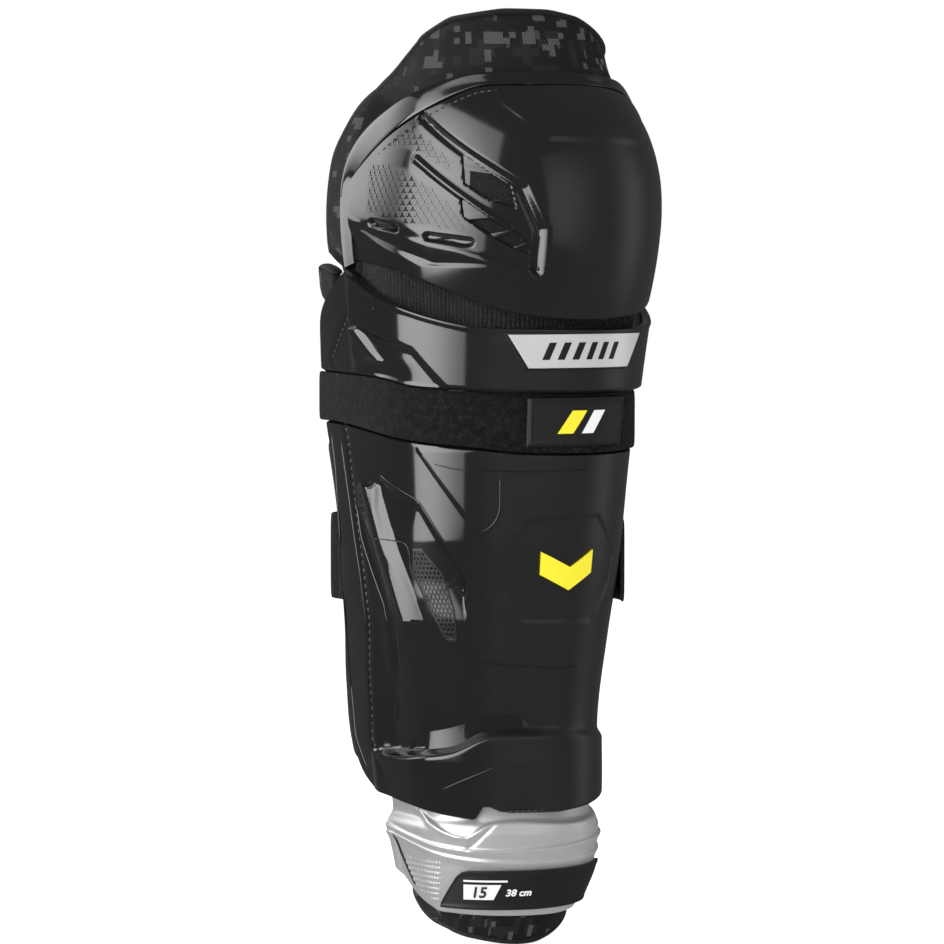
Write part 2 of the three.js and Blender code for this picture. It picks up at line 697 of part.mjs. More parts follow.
// Plain bars on the pull tab.
const tabFace = strapIn + strapThick + fit + patchThick;
add('tab_bar_yellow', plate(shinLeg, [[-9, 270], [-3, 282], [2, 282], [-4, 270]], tabFace + 0.3,
  tabFace + 0.9), 0xf0e010, 0.5, 0.0);
add('tab_bar_white', plate(shinLeg, [[0, 270], [6, 282], [11, 282], [5, 270]], tabFace + 0.3,
  tabFace + 0.9), 0xe8e8e8, 0.5, 0.0);

// ---------------------------------------------------------------- calf flaps
// A point behind the leg: reach along the side, then round a bend towards the other side.
function wrapPoint(sign, reach, height, out, bendAt, bend) {
  const half = (sign < 0 ? shinLeg.outer(height) : shinLeg.inner(height)) * girth;
  const turn = Math.max(reach - bendAt, 0) / bend;
  const radius = bend * girth;
  const x = half - radius * (1 - Math.cos(turn)) + Math.cos(turn) * out;
  const y = Math.min(reach, bendAt) * girth + radius * Math.sin(turn) + Math.sin(turn) * out;
  return new THREE.Vector3(sign * x, y, height * tall);
}

function wrapWall({ sign, reach, low, high, outer, inner, bendAt, bend, us, vs }) {
  const points = [];
  for (const out of [outer, inner]) {
    for (const v of vs) {
      for (const u of us) {
        // The outer side runs from the rear to the front so that its faces turn outward too.
        const along = sign < 0 ? mix(reach[1], reach[0], u) : mix(reach[0], reach[1], u);
        points.push(wrapPoint(sign, along, mix(low(along), high(along), v), out, bendAt, bend));
      }
    }
  }
  return gridSolid(points, us.length, vs.length);
}

const flaps = [
  {
    name: 'outer_calf', sign: -1, reach: [49.5, 84], bendAt: 50, bend: 50, out: -12.8,
    high: curve([[49, 340], [56, 347], [63, 354], [72, 356], [80, 351], [84, 338]]),
    low: curve([[49, 128], [60, 124], [74, 124], [84, 138]]),
  },
  {
    name: 'inner_calf', sign: 1, reach: [7.5, 58], bendAt: 20, bend: 46, out: -6.8,
    high: curve([[7, 316], [24, 326], [42, 326], [52, 318], [58, 300]]),
    low: curve([[7, 142], [24, 138], [46, 142], [58, 164]]),
  },
];
for (const f of flaps) {
  const body = { ...f, us: spread(10), vs: spread(8) };
  add(`${f.name}_flap`, wrapWall({
    ...body,
    low: (r) => f.low(r) + bindingThick + fit,
    high: (r) => f.high(r) - bindingThick - fit,
    outer: f.out,
    inner: f.out - flapThick,
  }), 0x232427, 0.95, 0.0);
  add(`${f.name}_binding`, wrapWall({
    ...body,
    high: f.high,
    low: (r) => f.high(r) - bindingThick,
    outer: f.out + 0.5,
    inner: f.out - flapThick - 0.5,
    vs: [0, 1],
  }), 0x0b0b0b, 0.8, 0.0);
}

// ---------------------------------------------------------------- small fixings
// Beading along the rear edges of both wings, below the strap channel.
function beading(edge, sign, from, to) {
  const run = spread(24).map((f) => {
    const height = mix(from, to, f);
    return legPoint(shinLeg, edge(height) + sign * 1.9, height, sign < 0 ? -1.3 : -1.7);
  });
  const round = new THREE.Shape();
  round.absarc(0, 0, 1.4, 0, Math.PI * 2, false);
  return new THREE.ExtrudeGeometry(round, {
    steps: 40, curveSegments: 4, bevelEnabled: false, extrudePath: new THREE.CatmullRomCurve3(run),
  });
}
add('outer_edge_bead', beading(outerWing, -1, 92, 262), 0x0c0c0c, 0.5, 0.0);
add('inner_edge_bead', beading(innerWing, 1, 96, 252), 0x0c0c0c, 0.5, 0.0);

// Domed rivets that hold the calf flaps at the top of the wings.
for (const [name, turn, height] of [['outer_rivet', -88, 334], ['inner_rivet', 84, 326]]) {
  const seat = legPoint(shinLeg, turn, height, bandRise + 0.5 * girth);
  const away = legPoint(shinLeg, turn, height, bandRise + 4).sub(seat).normalize();
  const profile = [[0, 0], [3, 0], [3, 0.5], [2.3, 1.2], [1.2, 1.6], [0, 1.7]];
  const dome = new THREE.LatheGeometry(profile.map(([r, h]) => new THREE.Vector2(r, h)), 14);
  dome.applyQuaternion(new THREE.Quaternion().setFromUnitVectors(new THREE.Vector3(0, 1, 0), away));
  dome.translate(seat.x, seat.y, seat.z);
  add(name, dome, 0x8a8c8e, 0.35, 0.9);
}

export default group;
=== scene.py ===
"""Hockey shin guard for the right leg: every visible surface, laid out as a Blender add-on.

A place on the guard is (turn, height): turn in degrees round the leg from the front centre line,
negative to the outer side, and height in millimetres above the bottom edge of the lining.
leg_point() turns that into a point of the shared frame, in metres: +Z up the leg, -Y forward.
"""

import math

import bpy
import numpy as np
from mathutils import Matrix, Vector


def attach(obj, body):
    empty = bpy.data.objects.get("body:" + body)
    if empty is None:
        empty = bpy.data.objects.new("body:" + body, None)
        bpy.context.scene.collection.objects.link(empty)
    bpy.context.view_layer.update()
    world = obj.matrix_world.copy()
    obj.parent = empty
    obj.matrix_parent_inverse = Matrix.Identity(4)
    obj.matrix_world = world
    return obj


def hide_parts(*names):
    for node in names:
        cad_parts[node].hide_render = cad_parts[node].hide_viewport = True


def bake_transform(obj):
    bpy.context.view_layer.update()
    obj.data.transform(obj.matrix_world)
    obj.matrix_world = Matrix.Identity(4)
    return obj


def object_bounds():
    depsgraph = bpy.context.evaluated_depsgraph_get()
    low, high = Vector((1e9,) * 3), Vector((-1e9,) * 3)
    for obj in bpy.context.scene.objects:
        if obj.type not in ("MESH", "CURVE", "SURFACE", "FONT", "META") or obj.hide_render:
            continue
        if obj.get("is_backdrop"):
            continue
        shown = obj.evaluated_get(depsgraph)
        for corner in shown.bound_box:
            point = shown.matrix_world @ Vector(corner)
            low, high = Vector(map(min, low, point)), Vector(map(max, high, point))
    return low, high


bl_info = {
    "name": "Hockey shin guard",
    "version": (1, 0, 0),
    "blender": (4, 5, 0),
    "location": "3D View > Sidebar > Shin guard",
    "description": "Builds the moulded shells, padding, straps and trims of a hockey shin guard",
    "category": "Add Mesh",
}

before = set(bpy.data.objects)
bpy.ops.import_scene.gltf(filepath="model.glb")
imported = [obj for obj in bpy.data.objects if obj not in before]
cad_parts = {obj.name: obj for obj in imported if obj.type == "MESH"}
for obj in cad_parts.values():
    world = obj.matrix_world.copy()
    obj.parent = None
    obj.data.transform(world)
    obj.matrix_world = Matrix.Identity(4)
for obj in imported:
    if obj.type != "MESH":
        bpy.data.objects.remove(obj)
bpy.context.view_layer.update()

MM = 0.001
SEAM_PULL = 0.8  # how deep a calf flap's thread pulls the cloth in, mm
HOLE_PITCH, HOLE_ROW, HOLE_RADIUS = 2.75, 2.45, 0.55  # breather holes, mm
PIP_PITCH, PIP_ROW, PIP_RISE = 3.7, 3.1, 0.34  # three-legged pips of the knee cap, mm
BAR_COUNT, BAR_STEP = 6, 5.9  # slanted bars on the plate, and the degrees from one to the next
CAP_TURN, COLLAR_TURN = 107, 131  # how far round the knee cap and the collar reach, degrees
finishes = {}  # every finish by name, filled by make_finishes()
ARC = 1.25  # millimetres along the shell for one degree of turn, on the flattened pattern


# ---------------------------------------------------------------- curves and distances
def mix(a, b, t):
    """The value t of the way from a to b."""
    return a + (b - a) * t


def smooth(x):
    """Nought below 0, one above 1, and 3x^2 - 2x^3 between."""
    x = np.clip(x, 0.0, 1.0)
    return x * x * (3 - 2 * x)


def curve(*pairs):
    """A smooth curve through (at, value) pairs: cubic Hermite pieces, each knot's slope the mean of
    its two chords, flat beyond both ends."""
    at, value = np.array(pairs, float).T
    chord = np.diff(value) / np.diff(at)
    slope = np.concatenate([chord[:1], (chord[1:] + chord[:-1]) / 2, chord[-1:]])

    def height(x):
        x = np.clip(np.asarray(x, float), at[0], at[-1])
        i = np.clip(np.searchsorted(at, x, side="right") - 1, 0, len(at) - 2)
        h = at[i + 1] - at[i]
        t = (x - at[i]) / h
        return (
            (2 * t**3 - 3 * t**2 + 1) * value[i]
            + (t**3 - 2 * t**2 + t) * h * slope[i]
            + (3 * t**2 - 2 * t**3) * value[i + 1]
            + (t**3 - t**2) * h * slope[i + 1]
        )

    return height


def polyline(*pairs):
    """Straight runs through (at, value) pairs, flat beyond both ends."""
    at, value = np.array(pairs, float).T
    return lambda x: np.interp(x, at, value)


def flatten(turn, height):
    """The same places on the flattened pattern, in millimetres."""
    return np.stack([turn * ARC, height], -1)


def to_line(turn, height, points):
    """Distance in millimetres, on the flattened pattern, to a line of straight runs: for each run the
    nearest point is the foot of the perpendicular, held between its ends, and the smallest wins."""
    x, y = turn * ARC, height
    best = np.full(np.shape(x), np.inf)
    for (a, b), (c, d) in zip(points, points[1:]):
        a, c = a * ARC, c * ARC
        t = np.clip(((x - a) * (c - a) + (y - b) * (d - b)) / ((c - a) ** 2 + (d - b) ** 2), 0, 1)
        best = np.minimum(best, np.hypot(x - mix(a, c, t), y - mix(b, d, t)))
    return best


def to_outline(turn, height, points):
    """Signed distance to a closed outline, negative inside: the distance to its nearest side, with the
    sign from how often a level line to the right crosses it."""
    ring = [*points, points[0]]
    inside = np.zeros(np.shape(turn), bool)
    for (a, b), (c, d) in zip(ring, ring[1:]):
        if b != d:
            crosses = (b > height) != (d > height)
            inside ^= crosses & (turn < (c - a) * (height - b) / (d - b) + a)
    distance = to_line(turn, height, ring)
    return np.where(inside, -distance, distance)


def within(turn, height, points, soft, shift=0.0):
    """One inside an outline, nought outside, with a smooth step that is `soft` millimetres wide."""
    return smooth(-to_outline(turn, height, points) / soft + shift)


def hump(turn, height, points, wide):
    """One on a line, falling off to both sides as exp(-(d / wide)^2)."""
    return np.exp(-((to_line(turn, height, points) / wide) ** 2))


def even(count):
    """That many places spread evenly from nought to one."""
    return np.linspace(0, 1, count)


def lines(*stretches):
    """Places of grid lines: each stretch is (from, to, count), and neighbours share their ends."""
    parts = [np.linspace(a, b, n, endpoint=False) for a, b, n in stretches]
    return np.concatenate([*parts, [stretches[-1][1]]])


# ---------------------------------------------------------------- leg surfaces
shin_leg = {
    "outer": curve((0, 46), (40, 52), (80, 60), (130, 64), (200, 72), (264, 77), (300, 80), (360, 84)),
    "inner": curve((0, 30), (20, 38), (40, 46), (80, 48), (120, 48), (160, 53), (200, 59), (250, 64),
                   (300, 70), (360, 80)),
    "front": curve((0, 30), (20, 38), (40, 45), (80, 46), (120, 47), (160, 52), (200, 58), (250, 63),
                   (300, 68), (360, 74)),
}
knee_leg = {
    "outer": curve((325, 76), (345, 80), (365, 83), (385, 84), (405, 82), (425, 77), (440, 71),
                   (455, 62), (490, 56)),
    "inner": curve((325, 70), (345, 74), (365, 77), (385, 79), (405, 78), (425, 73), (440, 66),
                   (455, 58), (490, 54)),
    "front": curve((325, 74), (345, 80), (365, 84), (385, 85), (405, 83), (425, 76), (440, 66),
                   (455, 52), (490, 40)),
}


def leg_point(leg, turn, height, out=0.0):
    """A point of the leg surface, in metres. Up to 90 degrees the section is half an ellipse whose half
    width and depth follow the height. Behind that the sides run straight back, 1.25 mm a degree, and
    close in by 6 mm for every 60 mm squared. The point then moves out along the section's normal."""
    turn, height = np.broadcast_arrays(np.asarray(turn, float), np.asarray(height, float))

    def section(angle):
        side = np.where(angle < 0, -1.0, 1.0)
        half = np.where(side < 0, leg["outer"](height), leg["inner"](height))
        r = np.radians(np.clip(angle, -90, 90))
        back = np.maximum(np.abs(angle) - 90, 0) * 1.25
        return half * np.sin(r) - side * 6 * (back / 60) ** 2, back - leg["front"](height) * np.cos(r)

    x, y = section(turn)
    ax, ay = section(turn - 0.2)
    bx, by = section(turn + 0.2)
    run = np.hypot(bx - ax, by - ay)
    return np.stack([x + (by - ay) / run * out, y - (bx - ax) / run * out, height + 0 * x], -1) * MM


def leg_normal(leg, turn, height):
    """The surface's normal: the cross product of its two tangents, each from points a little apart."""
    across = leg_point(leg, turn + 0.2, height) - leg_point(leg, turn - 0.2, height)
    up = leg_point(leg, turn, height + 0.5) - leg_point(leg, turn, height - 0.5)
    normal = np.cross(across, up)
    return normal / np.linalg.norm(normal, axis=-1, keepdims=True)


def wrap_point(leg, sign, reach, height, out, bend_at, bend):
    """A point behind the leg: straight back along the side for bend_at millimetres, then round a bend
    of that radius towards the other side, and out along the normal."""
    half = leg["outer"](height) if sign < 0 else leg["inner"](height)
    angle = np.maximum(reach - bend_at, 0) / bend
    x = half - bend * (1 - np.cos(angle)) + np.cos(angle) * out
    y = np.minimum(reach, bend_at) + bend * np.sin(angle) + np.sin(angle) * out
    return np.stack([sign * x, y, height + 0 * x], -1) * MM


# ---------------------------------------------------------------- meshes
def layer(low, high, from_turn, to_turn):
    """Turn and height between two edges, each a function of the turn."""

    def place(u, v):
        turn = mix(from_turn, to_turn, u)
        return turn, mix(low(turn), high(turn), v)

    return place


def grid_quads(rows, cols, start=0):
    """Corner numbers of the quads of a grid of points numbered row by row."""
    a = start + np.arange(rows * cols).reshape(rows, cols)
    return np.stack([a[:-1, :-1], a[:-1, 1:], a[1:, 1:], a[1:, :-1]], -1).reshape(-1, 4)


def border(rows, cols):
    """Numbers of a grid's border points, in order round it."""
    a = np.arange(rows * cols).reshape(rows, cols)
    return np.concatenate([a[0, :-1], a[:-1, -1], a[-1, :0:-1], a[:0:-1, 0]])


def band_quads(loop, other):
    """Quads between two closed loops of as many points."""
    return np.stack([loop, other, np.roll(other, -1), np.roll(loop, -1)], -1)


def volume(points, faces):
    """Signed volume inside closed faces: the sum over their fans of a . (b x c) / 6."""
    total = 0.0
    for f in faces:
        for k in range(1, f.shape[1] - 1):
            a, b, c = points[f[:, 0]], points[f[:, k]], points[f[:, k + 1]]
            total += np.einsum("ij,ij->", a, np.cross(b, c))
    return total / 6


def place_piece(name, mesh, body, look):
    """The mesh as an object in the scene, with its finish and its body."""
    mesh.materials.append(finishes[look])
    piece = bpy.data.objects.new(name, mesh)
    bpy.context.scene.collection.objects.link(piece)
    if body:
        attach(piece, body)
    return piece


def make_piece(name, points, faces, body, look, uv=None, crease=40, **masks):
    """A mesh object from points and arrays of faces, turned so that it encloses a positive volume, with
    its flattened pattern as a UV map, in units of 100 mm, and each mask as a number on every point."""
    points = points.reshape(-1, 3)
    if volume(points, faces) < 0:
        faces = [f[:, ::-1] for f in faces]
    mesh = bpy.data.meshes.new(name)
    mesh.from_pydata(points.tolist(), [], [f for group in faces for f in group.tolist()])
    mesh.polygons.foreach_set("use_smooth", np.ones(len(mesh.polygons), bool))
    if crease:
        mesh.set_sharp_from_angle(angle=math.radians(crease))
    if uv is not None:
        corner = np.empty(len(mesh.loops), np.int32)
        mesh.loops.foreach_get("vertex_index", corner)
        layer = mesh.uv_layers.new(name="pattern")
        layer.data.foreach_set("uv", (uv.reshape(-1, 2)[corner] / 100).astype(np.float32).ravel())
    for key, values in masks.items():
        layer = mesh.attributes.new(key, "FLOAT", "POINT")
        layer.data.foreach_set("value", np.asarray(values, np.float32).ravel())
    return place_piece(name, mesh, body, look)


def wall(name, outer, inner, body, look, uv=None, crease=40):
    """A closed wall between two grids of points of one size, outer and inner, joined round the border."""
    rows, cols = outer.shape[:2]
    count = rows * cols
    loop = border(rows, cols)
    faces = [grid_quads(rows, cols), grid_quads(rows, cols, count)[:, ::-1], band_quads(loop, loop + count)]
    points = np.concatenate([outer.reshape(-1, 3), inner.reshape(-1, 3)])
    pattern = None if uv is None else np.concatenate([uv.reshape(-1, 2)] * 2)
    return make_piece(name, points, faces, body, look, pattern, crease)


def leg_wall(name, leg, place, outer, inner, us, vs, body, look, crease=40):
    """A wall that follows the leg: place(u, v) gives turn and height, outer and inner the offsets."""
    u, v = np.meshgrid(us, vs)
    turn, height = place(u, v)
    pattern = flatten(turn, height)
    skins = [leg_point(leg, turn, height, face(turn, height)) for face in (outer, inner)]
    return wall(name, *skins, body, look, pattern, crease)


def moulded(name, leg, place, outer, inner, us, vs, body, look, rings=10, edge=1.0, **masks):
    """A moulded shell: a fine outer skin on the grid of us and vs, with its edge rounded over to a
    quarter circle, closed by an inner skin of rings that shrink from the border to the middle."""
    u, v = np.meshgrid(us, vs)
    turn, height = place(u, v)
    flat = flatten(turn, height)
    gaps = [np.linalg.norm(flat - side, axis=-1) for side in
            (flat[:, :1], flat[:, -1:], flat[:1], flat[-1:])]
    near = np.clip(np.minimum.reduce(gaps) / edge, 0, 1)
    rounding = edge * (1 - np.sqrt(1 - (1 - near) ** 2))
    skin = leg_point(leg, turn, height, outer(turn, height, u, v) - rounding)
    rows, cols = u.shape
    count = rows * cols
    loop = border(rows, cols)
    shrink = (1 - np.linspace(0, 1, rings, endpoint=False))[:, None]
    ru = mix(0.5, u.ravel()[loop][None], shrink)
    rv = mix(0.5, v.ravel()[loop][None], shrink)
    back = [(ru, rv), (np.array([[0.5]]), np.array([[0.5]]))]
    inside = [leg_point(leg, *place(a, b), inner(*place(a, b), a, b)).reshape(-1, 3) for a, b in back]
    patterns = [np.stack([place(a, b)[0] * ARC, place(a, b)[1]], -1).reshape(-1, 2) for a, b in back]
    ring = np.arange(len(loop))
    starts = count + np.arange(rings) * len(loop)
    last = count + rings * len(loop)
    tip = np.stack([starts[-1] + ring, np.full(len(loop), last), starts[-1] + np.roll(ring, -1)], -1)
    faces = [grid_quads(rows, cols), band_quads(loop, starts[0] + ring)]
    faces += [band_quads(a + ring, b + ring) for a, b in zip(starts, starts[1:])]
    points = np.concatenate([skin.reshape(-1, 3), *inside])
    spare = len(points) - count
    masks = {k: np.concatenate([m(turn, height).ravel(), np.zeros(spare)]) for k, m in masks.items()}
    return make_piece(name, points, [*faces, tip], body, look,
                      np.concatenate([flat.reshape(-1, 2), *patterns]), 48, **masks)


def tube(name, path, across, high, wide, body, look, sides=10):
    """An oval section carried along a path: its short way along `across`, its long way square to that
    and to the path. Its ends taper over three steps to a small cap."""
    step = np.gradient(path, axis=0)
    step /= np.linalg.norm(step, axis=1, keepdims=True)
    across = across - step * np.sum(across * step, 1, keepdims=True)
    across /= np.linalg.norm(across, axis=1, keepdims=True)
    other = np.cross(step, across)
    count = len(path)
    ends = np.minimum(np.arange(count), np.arange(count)[::-1]) / 3
    size = np.sqrt(1 - (1 - np.clip(ends, 0.02, 1)) ** 2)
    angle = np.linspace(0, 2 * np.pi, sides, endpoint=False)[None, :, None]
    size = (size * MM)[:, None, None]
    points = (path[:, None] + across[:, None] * np.cos(angle) * high / 2 * size
              + other[:, None] * np.sin(angle) * wide / 2 * size)
    run = np.concatenate([[0], np.cumsum(np.linalg.norm(np.diff(path, axis=0), axis=1))]) / MM
    round_ = np.linspace(0, (high + wide) * 1.5, sides)
    pattern = np.stack(np.broadcast_arrays(run[:, None], round_[None]), -1)
    n = np.arange(count * sides).reshape(count, sides)
    faces = [np.concatenate([band_quads(a, b) for a, b in zip(n, n[1:])]), n[:1], n[-1:, ::-1]]
    return make_piece(name, points, faces, body, look, pattern, 60)


def ease(line, passes):
    """Every point moves to the mean of its neighbours, a few times over, and both ends stay."""
    for _ in range(passes):
        line[1:-1] = (line[:-2] + 2 * line[1:-1] + line[2:]) / 4
    return line


def run_along(points, step):
    """Places a step apart along a line of straight runs on the flattened pattern, as (turn, height)."""
    p = np.array(points, float) * (ARC, 1)
    s = np.concatenate([[0], np.cumsum(np.linalg.norm(np.diff(p, axis=0), axis=1))])
    at = np.linspace(0, s[-1], max(2, int(round(s[-1] / step)) + 1))
    return np.interp(at, s, p[:, 0]) / ARC, np.interp(at, s, p[:, 1])


def rounded(points, step=1.5, passes=6):
    """The same line in small steps, with its corners eased."""
    return ease(np.stack(run_along(points, step), -1), passes)


def frame_along(leg, turn, height, out):
    """Points of a line on the leg, with its direction, its sideways direction and the normal at each."""
    spot = leg_point(leg, turn, height, out)
    along = np.gradient(spot, axis=0)
    along /= np.linalg.norm(along, axis=1, keepdims=True)
    normal = leg_normal(leg, turn, height)
    return spot, along, np.cross(normal, along), normal


def stitches(name, leg, runs, body, out, pitch, length, wide, high):
    """Rows of stitches. One stitch is a low dome on an oval, four by eight points, copied a pitch
    apart along each run and turned to the run's direction and the surface's normal."""
    ring, dome = np.meshgrid(np.linspace(0, 2 * np.pi, 8, endpoint=False), np.radians([0, 35, 65, 86]))
    shape = np.stack([np.cos(dome) * np.cos(ring) * length / 2, np.cos(dome) * np.sin(ring) * wide / 2,
                      np.sin(dome) * high - 0.2], -1).reshape(-1, 3) * MM
    quads = band_quads(np.arange(8), np.arange(8) + 8)
    one = np.concatenate([quads, quads + 8, quads + 16])
    caps = np.stack([np.arange(8)[::-1], np.arange(8) + 24])
    points, faces, ends = [], [], []
    for run in runs:
        turn, height = run_along(run, pitch)
        spot, along, side, normal = frame_along(leg, turn, height, out)
        placed = (spot[:, None] + along[:, None] * shape[None, :, :1] + side[:, None] * shape[None, :, 1:2]
                  + normal[:, None] * shape[None, :, 2:])
        start = sum(len(p) for p in points) + np.arange(len(spot))[:, None, None] * 32
        points.append(placed.reshape(-1, 3))
        faces.append((start + one[None]).reshape(-1, 4))
        ends.append((start + caps[None]).reshape(-1, 8))
    return make_piece(name, np.concatenate(points), [np.concatenate(faces), np.concatenate(ends)],
                      body, "thread", crease=0)


def creases(name, leg, runs, body, look, out, wide=0.9, high=0.35):
    """Fine moulded lines: a low ridge, its height across given by `lift`, carried along each eased
    run; it fades over the last four points, and its foot goes 0.6 mm into the skin."""
    across = np.array([-0.5, -0.32, -0.12, 0.12, 0.32, 0.5])
    lift = np.array([-0.4, 0.35, 1.0, 1.0, 0.35, -0.4])
    points, faces, caps = [], [], []
    for run in runs:
        turn, height = rounded(run).T
        spot, _, side, normal = frame_along(leg, turn, height, out(turn, height))
        fade = smooth(np.minimum(np.arange(len(spot)), np.arange(len(spot))[::-1]) / 4 + 0.1)
        level = spot[:, None] + side[:, None] * (across * wide * MM)[None, :, None]
        top = level + normal[:, None] * (lift[None] * high * MM * fade[:, None])[..., None]
        base = level - normal[:, None] * 0.6 * MM
        start = sum(len(p) for p in points)
        ring = np.concatenate([top, base[:, ::-1]], 1)
        n = start + np.arange(ring.shape[0] * 12).reshape(-1, 12)
        points.append(ring.reshape(-1, 3))
        faces += [band_quads(a, b) for a, b in zip(n, n[1:])]
        caps += [n[:1], n[-1:, ::-1]]
    return make_piece(name, np.concatenate(points), [np.concatenate(faces), np.concatenate(caps)],
                      body, look, crease=0)


def plate(name, leg, corners, low, high, body, look, step=1.2, edge=0.4, rise=None):
    """A plate with four corners (turn, height) laid on the leg: points spread evenly between opposite
    sides, both faces following the surface, and the top edge rounded."""
    a, b, c, d = [np.array(p, float) for p in corners]
    cols = int(max(abs(b[0] - a[0]), abs(c[0] - d[0])) * ARC / step) + 3
    rows = int(max(abs(d[1] - a[1]), abs(c[1] - b[1])) / step) + 3
    ease = lambda n: smooth(even(n)) * 0.25 + even(n) * 0.75
    us = np.sort(np.concatenate([ease(cols), [0.008, 0.992]]))
    vs = np.sort(np.concatenate([ease(rows), [0.012, 0.988]]))

    def place(u, v):
        p = mix(mix(a, b, u[..., None]), mix(d, c, u[..., None]), v[..., None])
        return p[..., 0], p[..., 1]

    return moulded(name, leg, place, lambda t, h, u, v: high + (rise(t, h) if rise else 0) + 0 * t,
                   lambda t, h, u, v: low + 0 * t, us, vs, body, look, rings=4, edge=edge)


# ---------------------------------------------------------------- padding
def inflate(piece, pinned, pressure, cap, frames=20):
    """Blows the piece up as cloth with air in it, its seams pinned, and keeps the shape of the last
    frame. No point moves further than cap."""
    rest = np.empty(len(piece.data.vertices) * 3)
    piece.data.vertices.foreach_get("co", rest)
    group = piece.vertex_groups.new(name="seams")
    group.add(np.flatnonzero(pinned).tolist(), 1.0, "REPLACE")
    cloth = piece.modifiers.new("Cloth", "CLOTH")
    fabric = dict(quality=5, mass=0.12, tension_stiffness=14, compression_stiffness=10, shear_stiffness=8,
                  bending_stiffness=0.4, vertex_group_mass="seams", use_pressure=True,
                  uniform_pressure_force=pressure)
    for key, value in fabric.items():
        setattr(cloth.settings, key, value)
    cloth.settings.effector_weights.gravity = 0
    cloth.collision_settings.use_collision = False
    cloth.point_cache.frame_start, cloth.point_cache.frame_end = 1, frames
    scene = bpy.context.scene
    for number in range(1, frames + 1):
        scene.frame_set(number)
    blown = piece.evaluated_get(bpy.context.evaluated_depsgraph_get()).to_mesh()
    now = np.empty_like(rest)
    blown.vertices.foreach_get("co", now)
    piece.modifiers.remove(cloth)
    scene.frame_set(1)
    move = (now - rest).reshape(-1, 3)
    far = np.linalg.norm(move, axis=1, keepdims=True)
    held = cap * np.tanh(far / cap) / np.maximum(far, 1e-9)
    piece.data.vertices.foreach_set("co", (rest.reshape(-1, 3) + move * held).ravel())
    piece.data.update()


def ease_surface(piece):
    """One smooth subdivision, live on the piece."""
    smoothing = piece.modifiers.new("Smooth", "SUBSURF")
    smoothing.levels = smoothing.render_levels = 1
    smoothing.uv_smooth = "PRESERVE_BOUNDARIES"


def pad(name, skins, pattern, seams, body, look, pressure, cap):
    """A padded piece from an outer and an inner grid: seams marks the points that the thread holds, on
    both skins, and the border is always held."""
    piece = wall(name, *skins, None, look, pattern, crease=0)
    held = np.array(seams, bool)
    held[[0, -1]] = True
    held[:, [0, -1]] = True
    inflate(piece, np.concatenate([held.ravel()] * 2), pressure, cap * MM)
    ease_surface(piece)
    if body:
        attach(piece, body)
    return piece


# ---------------------------------------------------------------- finishes
def shade(colour, amount):
    """The colour made darker or lighter, no channel above one."""
    return tuple(min(1, c * amount) for c in colour[:3])


class Finish:
    """A material that is being put together: its node tree, its shader and short ways to add nodes."""

    def __init__(self, name, colour, rough, **sockets):
        self.material = bpy.data.materials.new(name)
        self.material.use_nodes = True
        self.material.diffuse_color = (*colour[:3], 1)
        self.tree = self.material.node_tree
        self.shader = self.tree.nodes["Principled BSDF"]
        self.set("Base Color", (*colour[:3], 1))
        self.set("Roughness", rough)
        for key, value in sockets.items():
            self.set(key.replace("_", " "), value)

    def set(self, socket, value):
        self.shader.inputs[socket].default_value = value

    def node(self, kind, **settings):
        made = self.tree.nodes.new("ShaderNode" + kind)
        for key, value in settings.items():
            if hasattr(made, key):
                setattr(made, key, value)
            else:
                made.inputs[key.replace("_", " ")].default_value = value
        return made

    def link(self, source, target, socket=None):
        self.tree.links.new(source, target.inputs[socket] if socket is not None else target)

    def place(self, kind="Object"):
        return self.node("TexCoord").outputs[kind]

    def maths(self, operation, a, b=0.0, clamp=False):
        made = self.node("Math", operation=operation, use_clamp=clamp)
        for socket, value in zip(made.inputs, (a, b)):
            if isinstance(value, (int, float)):
                socket.default_value = value
            else:
                self.link(value, socket)
        return made.outputs[0]

    def at(self, place, kind, output, **settings):
        """One output of a node that reads the place."""
        made = self.node(kind, **settings)
        self.link(place, made, "Vector")
        return made.outputs[output]

    def noise(self, place, scale, detail=3.0, rough=0.55):
        return self.at(place, "TexNoise", "Fac", Scale=scale, Detail=detail, Roughness=rough)

    def stretch(self, place, scale, turn=0.0):
        return self.at(place, "Mapping", 0, Scale=scale, Rotation=(0, 0, turn))

    def span(self, value, low, high):
        made = self.node("MapRange", To_Min=low, To_Max=high)
        self.link(value, made, "Value")
        return made.outputs[0]

    def blend(self, amount, a, b):
        made = self.node("Mix", data_type="RGBA")
        self.link(amount, made, 0)
        for socket, value in ((6, a), (7, b)):
            if isinstance(value, (tuple, list)):
                made.inputs[socket].default_value = (*value[:3], 1)
            else:
                self.link(value, made, socket)
        return made.outputs[2]

    def colour(self, value):
        self.link(value, self.shader, "Base Color")

    def rough(self, value):
        self.link(value, self.shader, "Roughness")

    def bump(self, height, depth, strength):
        made = self.node("Bump", Distance=depth, Strength=strength)
        self.link(height, made, "Height")
        self.link(made.outputs[0], self.shader, "Normal")


